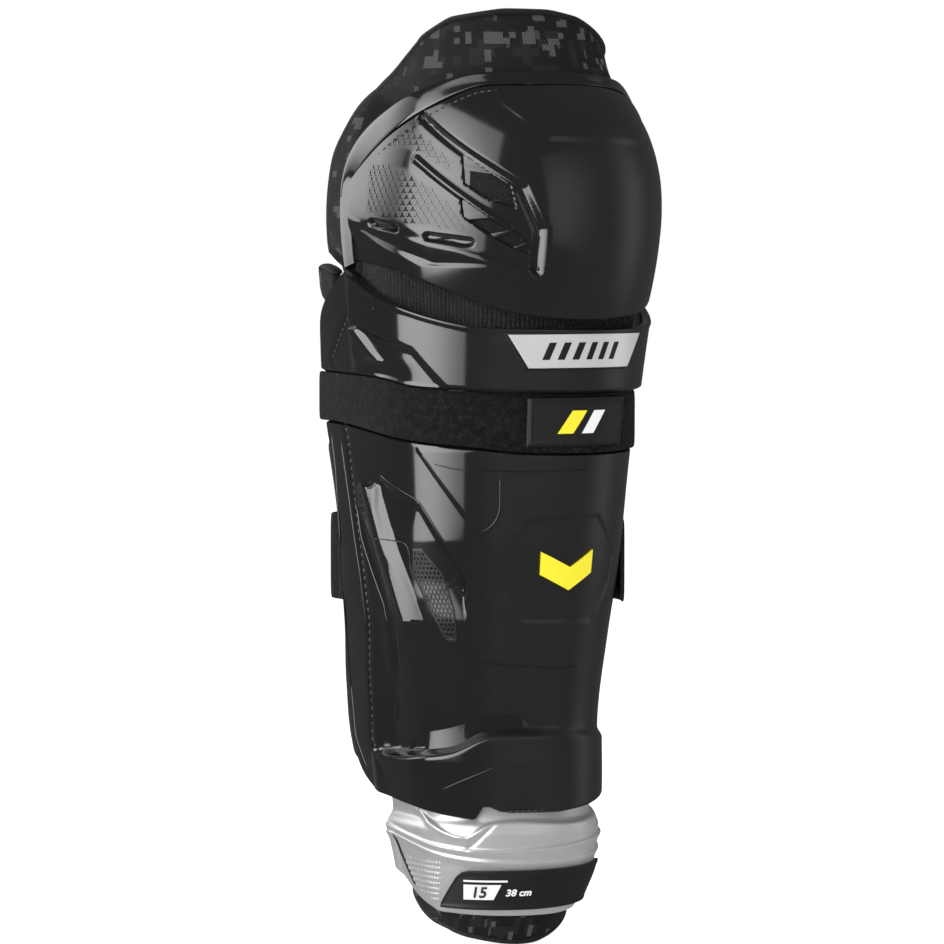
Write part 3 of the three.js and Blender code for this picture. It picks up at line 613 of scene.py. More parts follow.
def gloss_plastic(name, colour, rough):
    """Moulded gloss plastic: faint flow marks in the roughness, hairline scratches and orange peel.
    The satin mask takes the front to a soft sheen, and the void mask dulls the deep cuts."""
    f = Finish(name, colour, rough, IOR=1.5, Specular_IOR_Level=0.5)
    place = f.place()
    cloud = f.noise(place, 22, 4)
    hair = f.noise(f.stretch(place, (900, 60, 40), 0.6), 1.0, 6, 0.7)
    shine = f.maths("ADD", f.span(cloud, rough - 0.03, rough + 0.04), f.span(hair, -0.01, 0.03))
    for key, most in (("satin", 0.24), ("void", 0.6)):
        mask = f.node("Attribute", attribute_name=key)
        shine = f.maths("ADD", shine, f.maths("MULTIPLY", mask.outputs["Fac"], most))
    f.rough(shine)
    f.colour(f.blend(cloud, colour, shade(colour, 1.5)))
    f.bump(f.noise(place, 420, 2), 0.00002, 0.2)
    return f.material


def satin_plastic(name, colour, rough=0.42, grain=1500):
    """Fine grained plastic or rubber: an even leathery grain in the bump and in the roughness."""
    f = Finish(name, colour, rough, Specular_IOR_Level=0.35)
    place = f.place()
    fine = f.noise(place, grain, 3)
    f.rough(f.span(fine, rough - 0.1, rough + 0.12))
    f.colour(f.blend(f.noise(place, 60, 3), shade(colour, 0.8),
                     shade(colour, 1.35)))
    f.bump(fine, 0.0001, 0.35)
    return f.material


def pierced_plastic(name, colour):
    """Satin plastic round the breather holes, with painted shade inside them: their floors are coloured dead
    black.
    """
    f = Finish(name, colour, 0.4, Specular_IOR_Level=0.4)
    place = f.place()
    hole = f.maths("MULTIPLY", f.node("Attribute", attribute_name="void").outputs["Fac"], 1.6, True)
    # painted shade: the hole mask turns the colour of the holes' floors dead black
    f.colour(f.blend(hole, colour, (0.0005, 0.0005, 0.0005)))
    f.rough(f.maths("ADD", f.span(f.noise(place, 1500, 3), 0.3, 0.44), f.maths("MULTIPLY", hole, 0.6), True))
    f.bump(f.noise(place, 1500, 3), 0.00005, 0.3)
    return f.material


def silver_paint(name, colour):
    """Silver paint on plastic: fine flakes, a little cloud in the tone, a satin top."""
    f = Finish(name, colour, 0.34, Metallic=0.45, Coat_Weight=0.2, Coat_Roughness=0.15)
    place = f.place()
    fleck = f.span(f.at(place, "TexVoronoi", "Color", Scale=2600), 0.0, 1.0)
    cloud = f.noise(place, 30, 3)
    tone = f.maths("ADD", f.span(fleck, 0.0, 0.55), f.span(cloud, 0.0, 0.45))
    f.colour(f.blend(tone, shade(colour, 0.84), shade(colour, 1.12)))
    f.rough(f.span(cloud, 0.3, 0.42))
    f.bump(fleck, 0.00003, 0.25)
    return f.material


def polished_metal(name, colour, rough, metallic=1.0):
    """Bright metal with a fine brushed grain round the leg and soft smears."""
    f = Finish(name, colour, rough, Metallic=metallic)
    place = f.place()
    grain = f.noise(f.stretch(place, (60, 60, 2600)), 1.0, 4)
    f.rough(f.maths("ADD", f.span(f.noise(place, 40, 3), rough - 0.05, rough + 0.08),
                    f.span(grain, -0.03, 0.05)))
    f.colour(f.blend(grain, shade(colour, 0.88), colour))
    f.bump(grain, 0.00002, 0.3)
    return f.material


def printed(name, colour):
    """Flat ink with a slight grain."""
    f = Finish(name, colour, 0.42)
    place = f.place()
    f.colour(f.blend(f.noise(place, 260, 4), shade(colour, 0.86), colour))
    f.rough(f.span(f.noise(place, 900, 2), 0.35, 0.5))
    f.bump(f.noise(place, 1200, 2), 0.00004, 0.4)
    return f.material


def camo_cloth(name, dark, mid, light):
    """Brushed lining cloth: square-cornered patches in three tones of charcoal, each patch hatched with
    fine slanted lines, over a plain weave with a nap."""
    f = Finish(name, dark, 0.88, Sheen_Weight=0.02, Specular_IOR_Level=0.2)
    place = f.place("UV")

    def patches(size, scale, low, high):
        snap = f.node("VectorMath", operation="SNAP")
        f.link(place, snap, 0)
        snap.inputs[1].default_value = size
        return f.span(f.maths("GREATER_THAN", f.noise(snap.outputs[0], scale, 2), low), 0, high)

    tone = f.maths("MAXIMUM", patches((0.046, 0.031, 1), 9, 0.61, 1.0),
                   patches((0.025, 0.046, 1), 13, 0.64, 0.6))
    mid_tone = patches((0.062, 0.046, 1), 7, 0.54, 1.0)
    hatch = f.at(f.stretch(place, (1, -1, 1)), "TexWave", "Fac", bands_direction="DIAGONAL", Scale=26)
    grain = f.noise(place, 160, 4)
    streak = f.maths("MULTIPLY", f.span(hatch, 0.45, 1.0), f.span(grain, 0.6, 1.3))
    f.colour(f.blend(f.maths("MULTIPLY", tone, streak, True), f.blend(mid_tone, dark, mid), light))
    weave = [f.at(place, "TexWave", "Fac", bands_direction=way, Scale=34) for way in ("X", "Y")]
    f.bump(f.maths("ADD", f.maths("MAXIMUM", *weave), f.span(grain, 0, 1.2)), 0.00018, 0.6)
    f.rough(f.span(grain, 0.78, 0.98))
    return f.material


def loop_elastic(name, colour):
    """Brushed loop elastic: a deep uneven nap of tiny loops with soft sheen; the loop tips carry a painted
    highlight and the nap between them painted shade.
    """
    f = Finish(name, colour, 0.95, Sheen_Weight=0.02, Specular_IOR_Level=0.15)
    place = f.place()
    nap = f.at(place, "TexVoronoi", "Distance", Scale=1100)
    tuft = f.noise(place, 300, 6, 0.75)
    height = f.maths("ADD", f.span(nap, 1.0, 0.0), f.span(tuft, 0, 1.8))
    # painted highlight on the high loop tips and painted shade in the low nap, keyed to the same heights as
    # the bump
    lit_tips = f.maths("MULTIPLY", f.maths("POWER", tuft, 5.0), f.span(nap, 5.0, 0.0), True)
    f.colour(f.blend(lit_tips, shade(colour, 0.2), shade(colour, 12)))
    f.bump(height, 0.0006, 0.8)
    return f.material


def woven_tape(name, colour):
    """Narrow woven binding: ribs across the tape and a fine grain, with a painted highlight on each rib and
    painted shade between ribs.
    """
    f = Finish(name, colour, 0.7, Sheen_Weight=0.02, Specular_IOR_Level=0.25)
    place = f.place("UV")
    ribs = f.at(place, "TexWave", "Fac", bands_direction="X", Scale=38)
    grain = f.noise(place, 120, 3)
    # painted highlight and shade: the rib wave that makes the bump also makes each rib lighter on top and
    # darker between
    f.colour(f.blend(ribs, shade(colour, 0.5), shade(colour, 1.8)))
    f.bump(f.maths("ADD", ribs, f.span(grain, 0, 0.6)), 0.00015, 0.7)
    return f.material


def open_mesh(name, colour, space, scale):
    """Knitted mesh: lighter threads that run in staggered rows, with painted shade in the open cells between
    them.
    """
    f = Finish(name, colour, 0.75, Sheen_Weight=0.03, Specular_IOR_Level=0.2)
    squashed = f.stretch(f.place(space), (1, 0.6, 1))
    cells = f.at(squashed, "TexVoronoi", "Distance", feature="DISTANCE_TO_EDGE", Scale=scale)
    thread = f.maths("SUBTRACT", 1.0, f.span(cells, 0, 5), True)
    # painted shade: the open cells between the threads are coloured dark
    f.colour(f.blend(thread, shade(colour, 0.25), shade(colour, 2.6)))
    f.bump(thread, 0.0003, 0.8)
    return f.material


def cut_foam(name, colour):
    """Closed-cell foam: small round cells of uneven size, with painted shade in the hollow of each cell."""
    f = Finish(name, colour, 0.9)
    cells = f.at(f.place(), "TexVoronoi", "Distance", Scale=900)
    # painted shade: darker towards the middle of each cell, where the bump makes its hollow
    f.colour(f.blend(cells, colour, shade(colour, 2.2)))
    f.bump(cells, 0.0003, 0.6)
    return f.material


def make_finishes(colours):
    """Makes every finish of the guard."""
    gloss, lining = tuple(colours.gloss), tuple(colours.lining)
    finishes.update(
        black_gloss=gloss_plastic("black_gloss", gloss, 0.09),
        black_satin=satin_plastic("black_satin", gloss),
        breather=pierced_plastic("breather", (0.0065, 0.0065, 0.007)),
        polished_plate=polished_metal("polished_plate", tuple(colours.plate), 0.3, 0.35),
        yellow_print=printed("yellow_print", tuple(colours.yellow)),
        white_print=printed("white_print", tuple(colours.white)),
        foam=cut_foam("foam", (0.03, 0.03, 0.033)),
        lining=camo_cloth("lining", lining, shade(lining, 2.2), tuple(colours.patches)),
        mesh=open_mesh("mesh", (0.006, 0.006, 0.0065), "UV", 85),
        vent_mesh=open_mesh("vent_mesh", (0.003, 0.003, 0.0032), "Object", 800),
        silver_guard=silver_paint("silver_guard", tuple(colours.silver)),
        band_rubber=satin_plastic("band_rubber", (0.008, 0.008, 0.008), 0.5, 2200),
        binding=woven_tape("binding", (0.008, 0.008, 0.009)),
        strap=loop_elastic("strap", tuple(colours.strap)),
        thread=satin_plastic("thread", (0.03, 0.03, 0.03), 0.5, 3000),
        rivet_metal=polished_metal("rivet_metal", (0.02, 0.02, 0.021), 0.35),
    )


# ---------------------------------------------------------------- shin shell
hem_edge = polyline((-150, 80), (-119, 77), (-96, 73.5), (-70, 70.4), (-48, 67.6), (-45.5, 68.6),
                    (-40.5, 74.6), (-37, 74.6), (-32.5, 72.4), (-26, 71.4), (0, 71), (28, 73), (50, 76),
                    (112, 84))
hem_crease = curve((-150, 98), (-112, 100), (-80, 103), (-56, 106), (-36, 114), (0, 114), (44, 111),
                   (112, 106))
channel_low = curve((-150, 274), (-122, 273), (-70, 266), (-42, 263), (-23, 260.5), (56, 260.5),
                    (112, 264))
channel_high = curve((-150, 300), (-86, 297), (-72, 294), (-51, 292.5), (-24, 290.5), (64, 291),
                     (112, 295))
rim = curve((-112, 356), (-104, 351.5), (-92, 344), (-71, 334.5), (-54, 328.5), (-42, 325.5),
            (-26, 324.5), (36, 324.5), (60, 328), (85, 339), (104, 349), (112, 350))
outer_wing = curve((77, -119), (84, -134), (103, -146), (133, -148), (166, -142), (225, -139),
                   (254, -144), (270, -148), (314, -149), (332, -145), (346, -129), (356, -112))
inner_wing = curve((77, 92), (90, 100), (130, 104), (200, 104), (270, 108), (320, 110), (338, 108),
                   (350, 100))
wing_seam = [(-112, 334), (-126, 318), (-135, 308), (-131, 298), (-124, 262), (-121, 229), (-118, 201),
             (-117, 169), (-122, 143), (-124, 104), (-112, 90)]


def facet(turn, height, top, bottom, ends, rise, fall):
    """A slanted flat: between its front edge and its rear edge, each a straight line from top to
    bottom, the surface climbs to rise, and behind the rear edge it comes down over fall degrees."""
    t = (ends[0] - height) / (ends[0] - ends[1])
    front, rear = mix(top[0], bottom[0], t), mix(top[1], bottom[1], t)
    climb = np.clip((front - turn) / (front - rear), 0, 1)
    settle = 1 - smooth((rear - turn) / fall)
    inside = smooth((ends[0] - height) / 1.6 + 0.5) * smooth((height - ends[1]) / 1.6 + 0.5)
    return rise * climb * np.where(turn < rear, settle, 1.0) * inside


wedge = [(-116, 331), (-102, 328), (-74, 317.5), (-68, 315), (-50, 291), (-56, 280), (-120, 280)]
side_panel = [(-100, 243), (-96, 245.5), (-69, 232.5), (-47, 195.5), (-45.5, 172), (-60, 158), (-76, 168),
              (-92, 206), (-99, 230)]
side_step = [(-96, 245.5), (-69, 232.5), (-47, 195.5), (-45.5, 176)]
upper_panel = [(-69, 262), (-42, 220), (-39, 218.5), (-34, 224), (-32, 230), (-32, 262)]
octagon = [(-32, 205.5), (-18, 225.5), (17, 226.5), (36, 205), (34, 190), (20, 171), (-20, 172),
           (-30, 188)]
flank_groove = [(-118, 228), (-103, 186), (-100, 170), (-102, 146), (-112, 108)]


def shell_rise(turn, height, sizes):
    """How far the shell's skin stands out, in millimetres: the hem and the band step out across a bevel,
    the strap channel steps in, and the moulded panels, flats and grooves of the outer side are added,
    each as a smooth step of the signed distance to its outline."""
    low, high = channel_low(turn), channel_high(turn)
    wing = smooth((turn + 126) / 10) * (1 - smooth((turn - 92) / 12))
    over_hem = smooth((height - hem_crease(turn) + 4) / 6)
    over_channel = smooth((height - high - 0.3) / 2.2)
    side = smooth((turn + 122) / 14) * (1 - smooth((turn + 24) / 26))
    hem = sizes.hem_rise / MM * (1 - over_hem) * wing
    channel = -sizes.channel_depth / MM * smooth((height - low + 1.6) / 1.6) * (
        1 - smooth((height - high) / 1.6))
    band = sizes.band_rise / MM * over_channel * smooth((turn + 116) / 9) * (1 - smooth((turn - 94) / 10))
    pocket = -3.2 * within(turn, height, wedge, 5.0) * over_channel * smooth((turn + 116) / 26)
    chamfer = facet(turn, height, (-99.5, -103.5), (-84.5, -88.5), (324.5, 306.5), 2.3, 12)
    bar = facet(turn, height, (-97.5, -104.6), (-71, -82.5), (241.5, 170.5), 4.4, 15)
    deep = mix(4.6, 1.6, np.clip((height - 178) / 62, 0, 1)) * smooth((height - 170) / 24)
    scoop = -deep * within(turn, height, side_panel, 3.0) * np.clip(
        1.06 - to_line(turn, height, side_step) / 36, 0, 1)
    raised = 0.7 * within(turn, height, upper_panel, 1.3, 0.5) * smooth((low - height) / 2)
    front = -0.6 * within(turn, height, octagon, 1.5, 0.5)
    flank = -1.5 * hump(turn, height, flank_groove, 3.4) * smooth((height - 110) / 14)
    seam = -0.9 * hump(turn, height, wing_seam, 2.0)
    lip = 0.5 * smooth((height - rim(turn) + 3.2) / 1.6) * smooth((turn + 112) / 8)
    drop = np.clip((214 - height) / 108, 0, 1)
    waist = -(5.0 * drop + 1.8 * drop**4) * over_hem * side
    taper = -2.4 * np.clip((98 - height) / 27, 0, 1) * side
    swell = 3.6 * np.clip((-66 - turn) / 38, 0, 1) * (1 - smooth((-105 - turn) / 9)) * smooth(
        (height - high - 4) / 10)
    return (hem + channel + band + pocket + chamfer + bar + scoop + raised + front + flank + seam + lip
            + waist + taper + swell)


def shell_inside(turn, height, sizes):
    """Offset of the shell's inner face: it follows the recesses in full and the raised parts by half."""
    rise = shell_rise(turn, height, sizes)
    return np.minimum(rise, 0) + 0.5 * np.clip(rise, 0, 2) - 0.5 - sizes.shell_wall / MM


def satin_front(turn, height):
    """Where the plastic is satin: in front of the outer side's gloss."""
    return smooth((turn + 46) / 16)


row_edges = [hem_edge, lambda t: hem_crease(t) - 4, hem_crease, lambda t: channel_low(t) - 1.4,
             channel_low, channel_high, lambda t: channel_high(t) + 2.4, rim]


def row_height(row, turn):
    """Height of a row of the shell's grid: rows follow its edges and creases, evenly between them."""
    knots = np.stack([edge(turn) + 0 * row for edge in row_edges])
    k = np.clip(row.astype(int), 0, len(row_edges) - 2)
    below = np.take_along_axis(knots, k[None], 0)[0]
    above = np.take_along_axis(knots, k[None] + 1, 0)[0]
    return mix(below, above, row - k)


def shell_place(u, v):
    """Turn and height on the shell: u runs between the two wing edges at that row's height."""
    row = v * (len(row_edges) - 1)
    turn = mix(outer_wing(row_height(row, -140 + 0 * u)), inner_wing(row_height(row, 108 + 0 * u)), u)
    return turn, row_height(row, turn)


class ShinShell(bpy.types.Operator):
    """Moulded shin shell with its hem, strap channel, upper band and side panels"""

    bl_idname = "shin_guard.shin_shell"
    bl_label = "Shin shell"

    def execute(self, context):
        sizes = context.scene.shin_guard_sizes
        turns = lines((-147, -146, 3), (-146, -118, 22), (-118, -38, 120), (-38, 45, 78), (45, 105, 34),
                      (105, 106, 3))
        us = (turns - turns[0]) / (turns[-1] - turns[0])
        rows = lines((0, 0.03, 2), (0.03, 1, 30), (1, 2, 6), (2, 3, 152), (3, 4, 3), (4, 5, 12),
                     (5, 6, 4), (6, 6.96, 42), (6.96, 7, 3))
        on_shell = lambda t, h: shell_rise(t, h, sizes)
        outer = lambda t, h, u, v: on_shell(t, h)
        inner = lambda t, h, u, v: shell_inside(t, h, sizes)
        shell = moulded("shin_shell_skin", shin_leg, shell_place, outer, inner, us,
                        rows / (len(row_edges) - 1), "shin", "black_gloss",
                        rings=8, edge=1.1, satin=satin_front)
        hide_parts("shin_shell")
        creases("shell_creases", shin_leg, [
            [(-60, 254.5), (-52, 252), (-38, 251), (-22, 250.5), (10, 250.5)],
            [(-96, 247.2), (-69, 235), (-48, 199.5)],
            [(-66, 259), (-42, 220), (-39.5, 218.4), (-34, 224), (-32, 230), (-32, 248)],
            [(-104, 214.5), (-79, 212.5), (-77.5, 206), (-78, 199), (-59, 163.5), (-52, 163), (-39, 150.5),
             (-6, 147), (16, 147)],
            [(-64, 83.5), (-48, 90), (-31, 97)],
            [(-142, 268), (-139.5, 247.5), (-140, 210), (-142.5, 173), (-144, 130), (-142, 104), (-130, 87)],
            [(-131, 264), (-128.5, 248), (-125.5, 229.5), (-120.5, 195), (-119.5, 160), (-124, 138),
             (-124.5, 108)],
            [(-122, 231), (-116, 211.5), (-110, 195), (-104, 179), (-102.5, 159), (-104, 140)],
            [(-112, 331), (-125, 316), (-133, 306)],
        ], "shin", "black_gloss", on_shell, 0.9, 0.36)
        stitches("wing_stitches", shin_leg, [wing_seam[:3], wing_seam[3:]], "shin", -0.9, 4.2, 2.6, 1.0, 0.7)
        stitches("hem_stitches", shin_leg, [[(-26, 72.6), (-6, 72.4)]], "shin", 1.6, 4.0, 2.8, 1.0, 0.6)
        return {"FINISHED"}


class BreatherPanel(bpy.types.Operator):
    """Perforated breather panel let into the outer side of the shell"""

    bl_idname = "shin_guard.breather_panel"
    bl_label = "Breather panel"

    def execute(self, context):
        sizes = context.scene.shin_guard_sizes
        front, rear = polyline((160, -52), (168, -52), (178, -53), (197, -59), (209, -69)), polyline(
            (160, -56), (164, -60), (198, -76.5), (209, -75.5))

        def place(u, v):
            height = mix(161, 210, v)
            return mix(rear(height), front(height), u), height

        def holes(turn, height):
            """How deep in a hole a place is: round holes a pitch apart on level rows, which lean with
            the panel's slant, every other row moved by half."""
            row = np.floor(height / HOLE_ROW)
            along = (turn * ARC + height * 0.2) / HOLE_PITCH + (row % 2) * 0.5
            across = (along - np.floor(along) - 0.5) * HOLE_PITCH
            up = (height / HOLE_ROW - row - 0.5) * HOLE_ROW
            edge = np.minimum(turn - rear(height), front(height) - turn) * ARC
            ends = smooth((height - 163) / 0.5) * smooth((208.5 - height) / 0.5)
            inside = smooth((edge - 1.4) / 0.5) * ends
            return (1 - smooth((np.hypot(across, up) - HOLE_RADIUS) / 0.4)) * inside

        base = lambda t, h: shell_rise(t, h, sizes)
        outer = lambda t, h, u, v: base(t, h) + 0.45 - 1.5 * holes(t, h)
        # the void mask carries the holes to the breather finish, which paints their floors dead black as
        # painted shade
        moulded("breather_panel", shin_leg, place, outer, lambda t, h, u, v: base(t, h) - 1.6,
                        even(110), even(190), "shin", "breather", rings=4, edge=0.6, void=holes)
        return {"FINISHED"}


class ShellTrims(bpy.types.Operator):
    """Polished plate with its bars, yellow chevron and edge beads"""

    bl_idname = "shin_guard.shell_trims"
    bl_label = "Shell trims"

    def execute(self, context):
        sizes = context.scene.shin_guard_sizes
        top = sizes.band_rise / MM
        corners = [(-22, 304), (26, 304), (34, 321.5), (-30, 321.5)]
        rim_ = [(-23.6, 302.9), (27.4, 302.9), (36, 322.6), (-32, 322.6)]
        plate("badge_frame", shin_leg, rim_, top - 0.8, top + 0.45, "shin", "black_satin")
        badge = plate("badge_plate", shin_leg, corners, top - 0.6, top + 0.95, "shin", "polished_plate")
        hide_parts("shin_badge")
        for k in range(BAR_COUNT):
            turn = -15.2 + k * BAR_STEP
            bar = [(turn - 1.9, 308.3), (turn + 0.9, 308.3), (turn + 3.5, 317.2), (turn + 0.7, 317.2)]
            plate(f"badge_bar_{k + 1}", shin_leg, bar, top + 0.4, top + 1.15, "shin", "black_satin", 1.0,
                  0.15)
        u, v = np.meshgrid(np.linspace(-14, 14, 33), even(9))
        height = 200 + 8 * np.abs(u) / 13 - 12 * v
        skins = [leg_point(shin_leg, u, height, out) for out in (0.7, -0.4)]
        chevron = wall("front_chevron_print", *skins, "shin", "yellow_print")
        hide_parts("front_chevron")
        for name, edge, side, low, high, out in (
            ("outer", outer_wing, -1, 92, 262, -1.3), ("inner", inner_wing, 1, 96, 252, -1.7)):
            tall = np.linspace(low, high, 90)
            path = leg_point(shin_leg, edge(tall) + side * 1.9, tall, out)
            bead = tube(f"{name}_bead_tube", path, leg_normal(shin_leg, edge(tall), tall), 2.8, 2.8, "shin",
                        "binding")
            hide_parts(f"{name}_edge_bead")
        return {"FINISHED"}


# ---------------------------------------------------------------- ankle guard
guard_low = curve((-118, 36), (-113, 34), (-100, 23), (-88, 18), (-70, 17), (60, 17), (80, 20), (96, 30))
guard_profile = curve((14, -1.6), (30, -0.6), (42, -0.2), (48, 0.1), (57, 0.4), (61, 0.4), (64, -1.2),
                      (67, -3.6), (74, -4.8), (90, -4.8))
ridge_lines = (
    (curve((-110, 78), (-98, 73), (-75, 64), (-52, 58.5), (-46, 61.5), (-40, 64.5), (15, 64), (50, 66),
           (94, 70)), 1.5),
    (curve((-116, 60), (-84, 54.5), (-54, 51.5), (0, 52.5), (42, 55), (94, 58)), 1.5),
    (curve((-114, 56), (-80, 49.5), (-39, 45.6), (38, 46.5), (94, 51)), 1.1),
)


def guard_rise(turn, height):
    """How far the ankle guard stands out: a plain profile up its height, three rolled ridges, each a
    bell across a line round the leg, a rim down its outer edge and a field of small pips."""
    rise = guard_profile(height)
    for line, tall in ridge_lines:
        d = height - line(turn)
        rise = rise + tall * np.where(d > 0, np.exp(-((d / 0.9) ** 2)), np.exp(-((d / 2.4) ** 2)))
    edge = 0.9 * (1 - smooth((turn + 113.5) / 3)) * smooth((60 - height) / 4)
    x, z = turn * ARC / 3.3, height / 2.9
    field = smooth((turn + 108) / 3) * smooth((-72 - (44 - height) * 0.35 - turn) / 3) * smooth(
        (46 - height) / 3) * smooth((height - guard_low(turn) - 3) / 3)
    tile = np.minimum.reduce([np.abs((w - np.floor(w)) - 0.5) for w in (x + z / 2, x - z / 2, z)])
    pips = 0.5 * field * smooth((tile - 0.08) / 0.2)
    notch = -0.8 * np.exp(-(((turn + 40 + (62 - height) * 1.3) / 1.6) ** 2))
    notch = notch * smooth((height - 50) / 3) * smooth((67 - height) / 3)
    return rise + edge + pips + notch


def size_text(name, words, turn, height, size, out, look):
    """Figures printed on the band: the text's flat outline, thickened, then wound round the leg, so
    that a millimetre across is 1.2 degrees of turn there."""
    font = bpy.data.curves.new(name, "FONT")
    font.body = words
    font.size = size
    font.shear = 0.12
    font.extrude = 0.3
    font.offset = 0.14
    font.resolution_u = 3
    flat = bpy.data.objects.new(name, font)
    bpy.context.scene.collection.objects.link(flat)
    mesh = bpy.data.meshes.new_from_object(flat.evaluated_get(bpy.context.evaluated_depsgraph_get()))
    bpy.data.objects.remove(flat)
    co = np.empty(len(mesh.vertices) * 3)
    mesh.vertices.foreach_get("co", co)
    co = co.reshape(-1, 3)
    co = leg_point(shin_leg, turn + co[:, 0] * 1.22, height + co[:, 1], out + co[:, 2])
    mesh.vertices.foreach_set("co", co.ravel())
    mesh.materials.clear()
    return place_piece(name, mesh, "ankle", look)


class AnkleGuard(bpy.types.Operator):
    """Silver ankle guard with rolled ridges, and the band that carries the size"""

    bl_idname = "shin_guard.ankle_guard"
    bl_label = "Ankle guard"

    def execute(self, context):
        place, thick = layer(guard_low, lambda t: 86, -117, 94), 2.6
        guard = moulded("ankle_guard_skin", shin_leg, place, lambda t, h, u, v: guard_rise(t, h),
                        lambda t, h, u, v: guard_profile(h) - thick,
                        lines((0, 0.01, 3), (0.01, 0.24, 110), (0.24, 0.99, 150), (0.99, 1, 3)),
                        lines((0, 0.02, 3), (0.02, 0.75, 110), (0.75, 1, 14)), "ankle", "silver_guard",
                        rings=8, edge=1.0)
        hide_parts("ankle_guard")
        # painted shade: a dark rubber strip laid on the guard along the slot line stands in for the shaded
        # opening of the slot
        slot_line = rounded([(-111.5, 55), (-109, 45), (-104, 34), (-101, 29)])
        path = leg_point(shin_leg, slot_line[:, 0], slot_line[:, 1], guard_rise(*slot_line.T) + 0.02)
        tube("guard_slot_shade", path, leg_normal(shin_leg, *slot_line.T), 0.9, 2.8, "ankle", "band_rubber", 8)
        top = polyline((-76, 21.5), (-62, 37.5), (-58.5, 40), (-54, 41), (0, 41), (60, 41), (84, 36.5),
                       (86, 35))
        low = polyline((-76, 20.2), (-10, 19.3), (60, 20.2), (86, 24))
        band_place = layer(low, top, -76, 86)

        def band_rise(t, h, u, v):
            gap = np.minimum(top(t) - h, h - low(t))
            return 1.75 + 0.35 * (1 - smooth((gap - 1.4) / 0.8))

        band = moulded("size_band_rubber", shin_leg, band_place, band_rise, lambda t, h, u, v: -0.3 + 0 * t,
                       lines((0, 0.1, 24), (0.1, 1, 90)), lines((0, 0.04, 3), (0.04, 0.96, 24), (0.96, 1, 3)),
                       "ankle", "band_rubber", rings=5, edge=0.5)
        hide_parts("size_band")
        rows = [[(-74, 23.5), (-62, 36.2), (-57, 39)], [(-54, 39.4), (0, 39.3), (60, 39.3), (80, 36)]]
        stitches("band_stitches", shin_leg, rows, "ankle", 1.95, 2.6, 1.6, 0.45, 0.3)
        field = plate("size_field", shin_leg, [(-57, 25.4), (-37.5, 25.4), (-33.5, 33.6), (-57, 33.6)], 1.5,
                      2.35, "ankle", "white_print", 1.0, 0.2)
        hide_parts("size_plate")
        size_text("size_inches", "15", -52.0, 26.7, 8.2, 2.65, "band_rubber")
        size_text("size_centimetres", "38 cm", -30.5, 27.4, 5.2, 2.05, "white_print")
        plate("size_rule", shin_leg, [(-57, 35.0), (-30, 35.0), (-30, 36.0), (-57, 36.0)], 1.5, 2.2, "ankle",
              "white_print", 1.0, 0.15)
        return {"FINISHED"}


# ---------------------------------------------------------------- knee cap
cap_low = curve((-107, 359), (-81, 354.8), (-62, 346.3), (-49, 340), (-34, 333.5), (-10, 329.4),
                (22, 330), (43, 334), (62, 342), (85, 352), (107, 359))
cap_high = curve((-107, 402), (-92, 419), (-77, 432), (-58, 443), (-45, 448.5), (-26, 449.5),
                 (26, 449), (45, 445), (58, 438.5), (77, 427), (92, 415), (107, 399))
cap_channel = [(-71, 434), (-29, 396), (-22.5, 375), (-23, 354)]
cap_side = [(-71, 436), (-29, 396), (-22.5, 375), (-22, 352), (-52, 364), (-92, 374), (-112, 384),
            (-112, 440)]
vent_upper = [(-51, 413), (-33.5, 397), (-31.5, 386.5), (-41.5, 391.5), (-50, 399)]
vent_lower = [(-51, 391), (-40, 380.5), (-28, 371.5), (-26, 362), (-36, 369), (-50, 382)]
cap_brow = [(-40, 441), (-19, 418), (30, 416), (60, 436), (60, 470), (-40, 470)]
cap_fin = [(-70, 411.5), (-34, 376)]
pip_patches = ([(-78, 432), (-68, 425), (-53, 410), (-56, 403), (-72, 415), (-88, 416)],
               [(-96, 410), (-76, 409), (-58, 394), (-50, 382), (-46, 371), (-72, 377), (-94, 383)])
cap_slots = ([(-90, 378.5), (-78, 376)], [(-64, 371.5), (-48, 368.5)])


def in_slots(turn, height):
    """One inside the two slots below the pips, nought outside."""
    return sum(np.clip(1 - to_line(turn, height, s) / 2.6, 0, 1) for s in cap_slots)


def cap_void(turn, height):
    """The dull floors of the cap's two vents."""
    vents = sum(within(turn, height, v, 1.6, 0.4) for v in (vent_upper, vent_lower))
    return np.clip(0.5 * vents, 0, 1)


def cap_satin(turn, height):
    """Where the cap is satin: its front, and the panel of pips."""
    return np.maximum(smooth((turn + 22) / 22) * 0.9, 0.8 * pip_field(turn, height))


def cap_rise(turn, height):
    """How far the knee cap's skin stands out: the outer side steps in behind a slanted channel, with a
    fin, two vents, two slots and a panel of three-legged pips, and the brow carries a slanted crease."""
    off = to_line(turn, height, cap_channel)
    side = -1.9 * within(turn, height, cap_side, 3.2) * smooth(1.25 - off / 62)
    channel = -2.9 * np.clip(1 - off / 3.4, 0, 1)
    vents = sum(-4.4 * within(turn, height, v, 1.2, 0.5) for v in (vent_upper, vent_lower))
    fin = 2.1 * (1 - smooth((to_line(turn, height, cap_fin) - 0.4) / 2.0))
    slots = -3.4 * in_slots(turn, height)
    lower = facet(turn, height, (-72, -96), (-40, -60), (376, 357), -1.2, 8)
    flare = 3.4 * np.clip((-66 - turn) / 40, 0, 1) * smooth((height - 366) / 14)
    brow = 0.7 * smooth((to_outline(turn, height, cap_brow) + 2) / -4)
    return side + channel + vents + fin + slots + lower + flare + brow


def pip_field(turn, height):
    """Where the outer side carries raised pips: two patches, behind the vents and above the fin."""
    return np.maximum(*(within(turn, height, patch, 3) for patch in pip_patches))


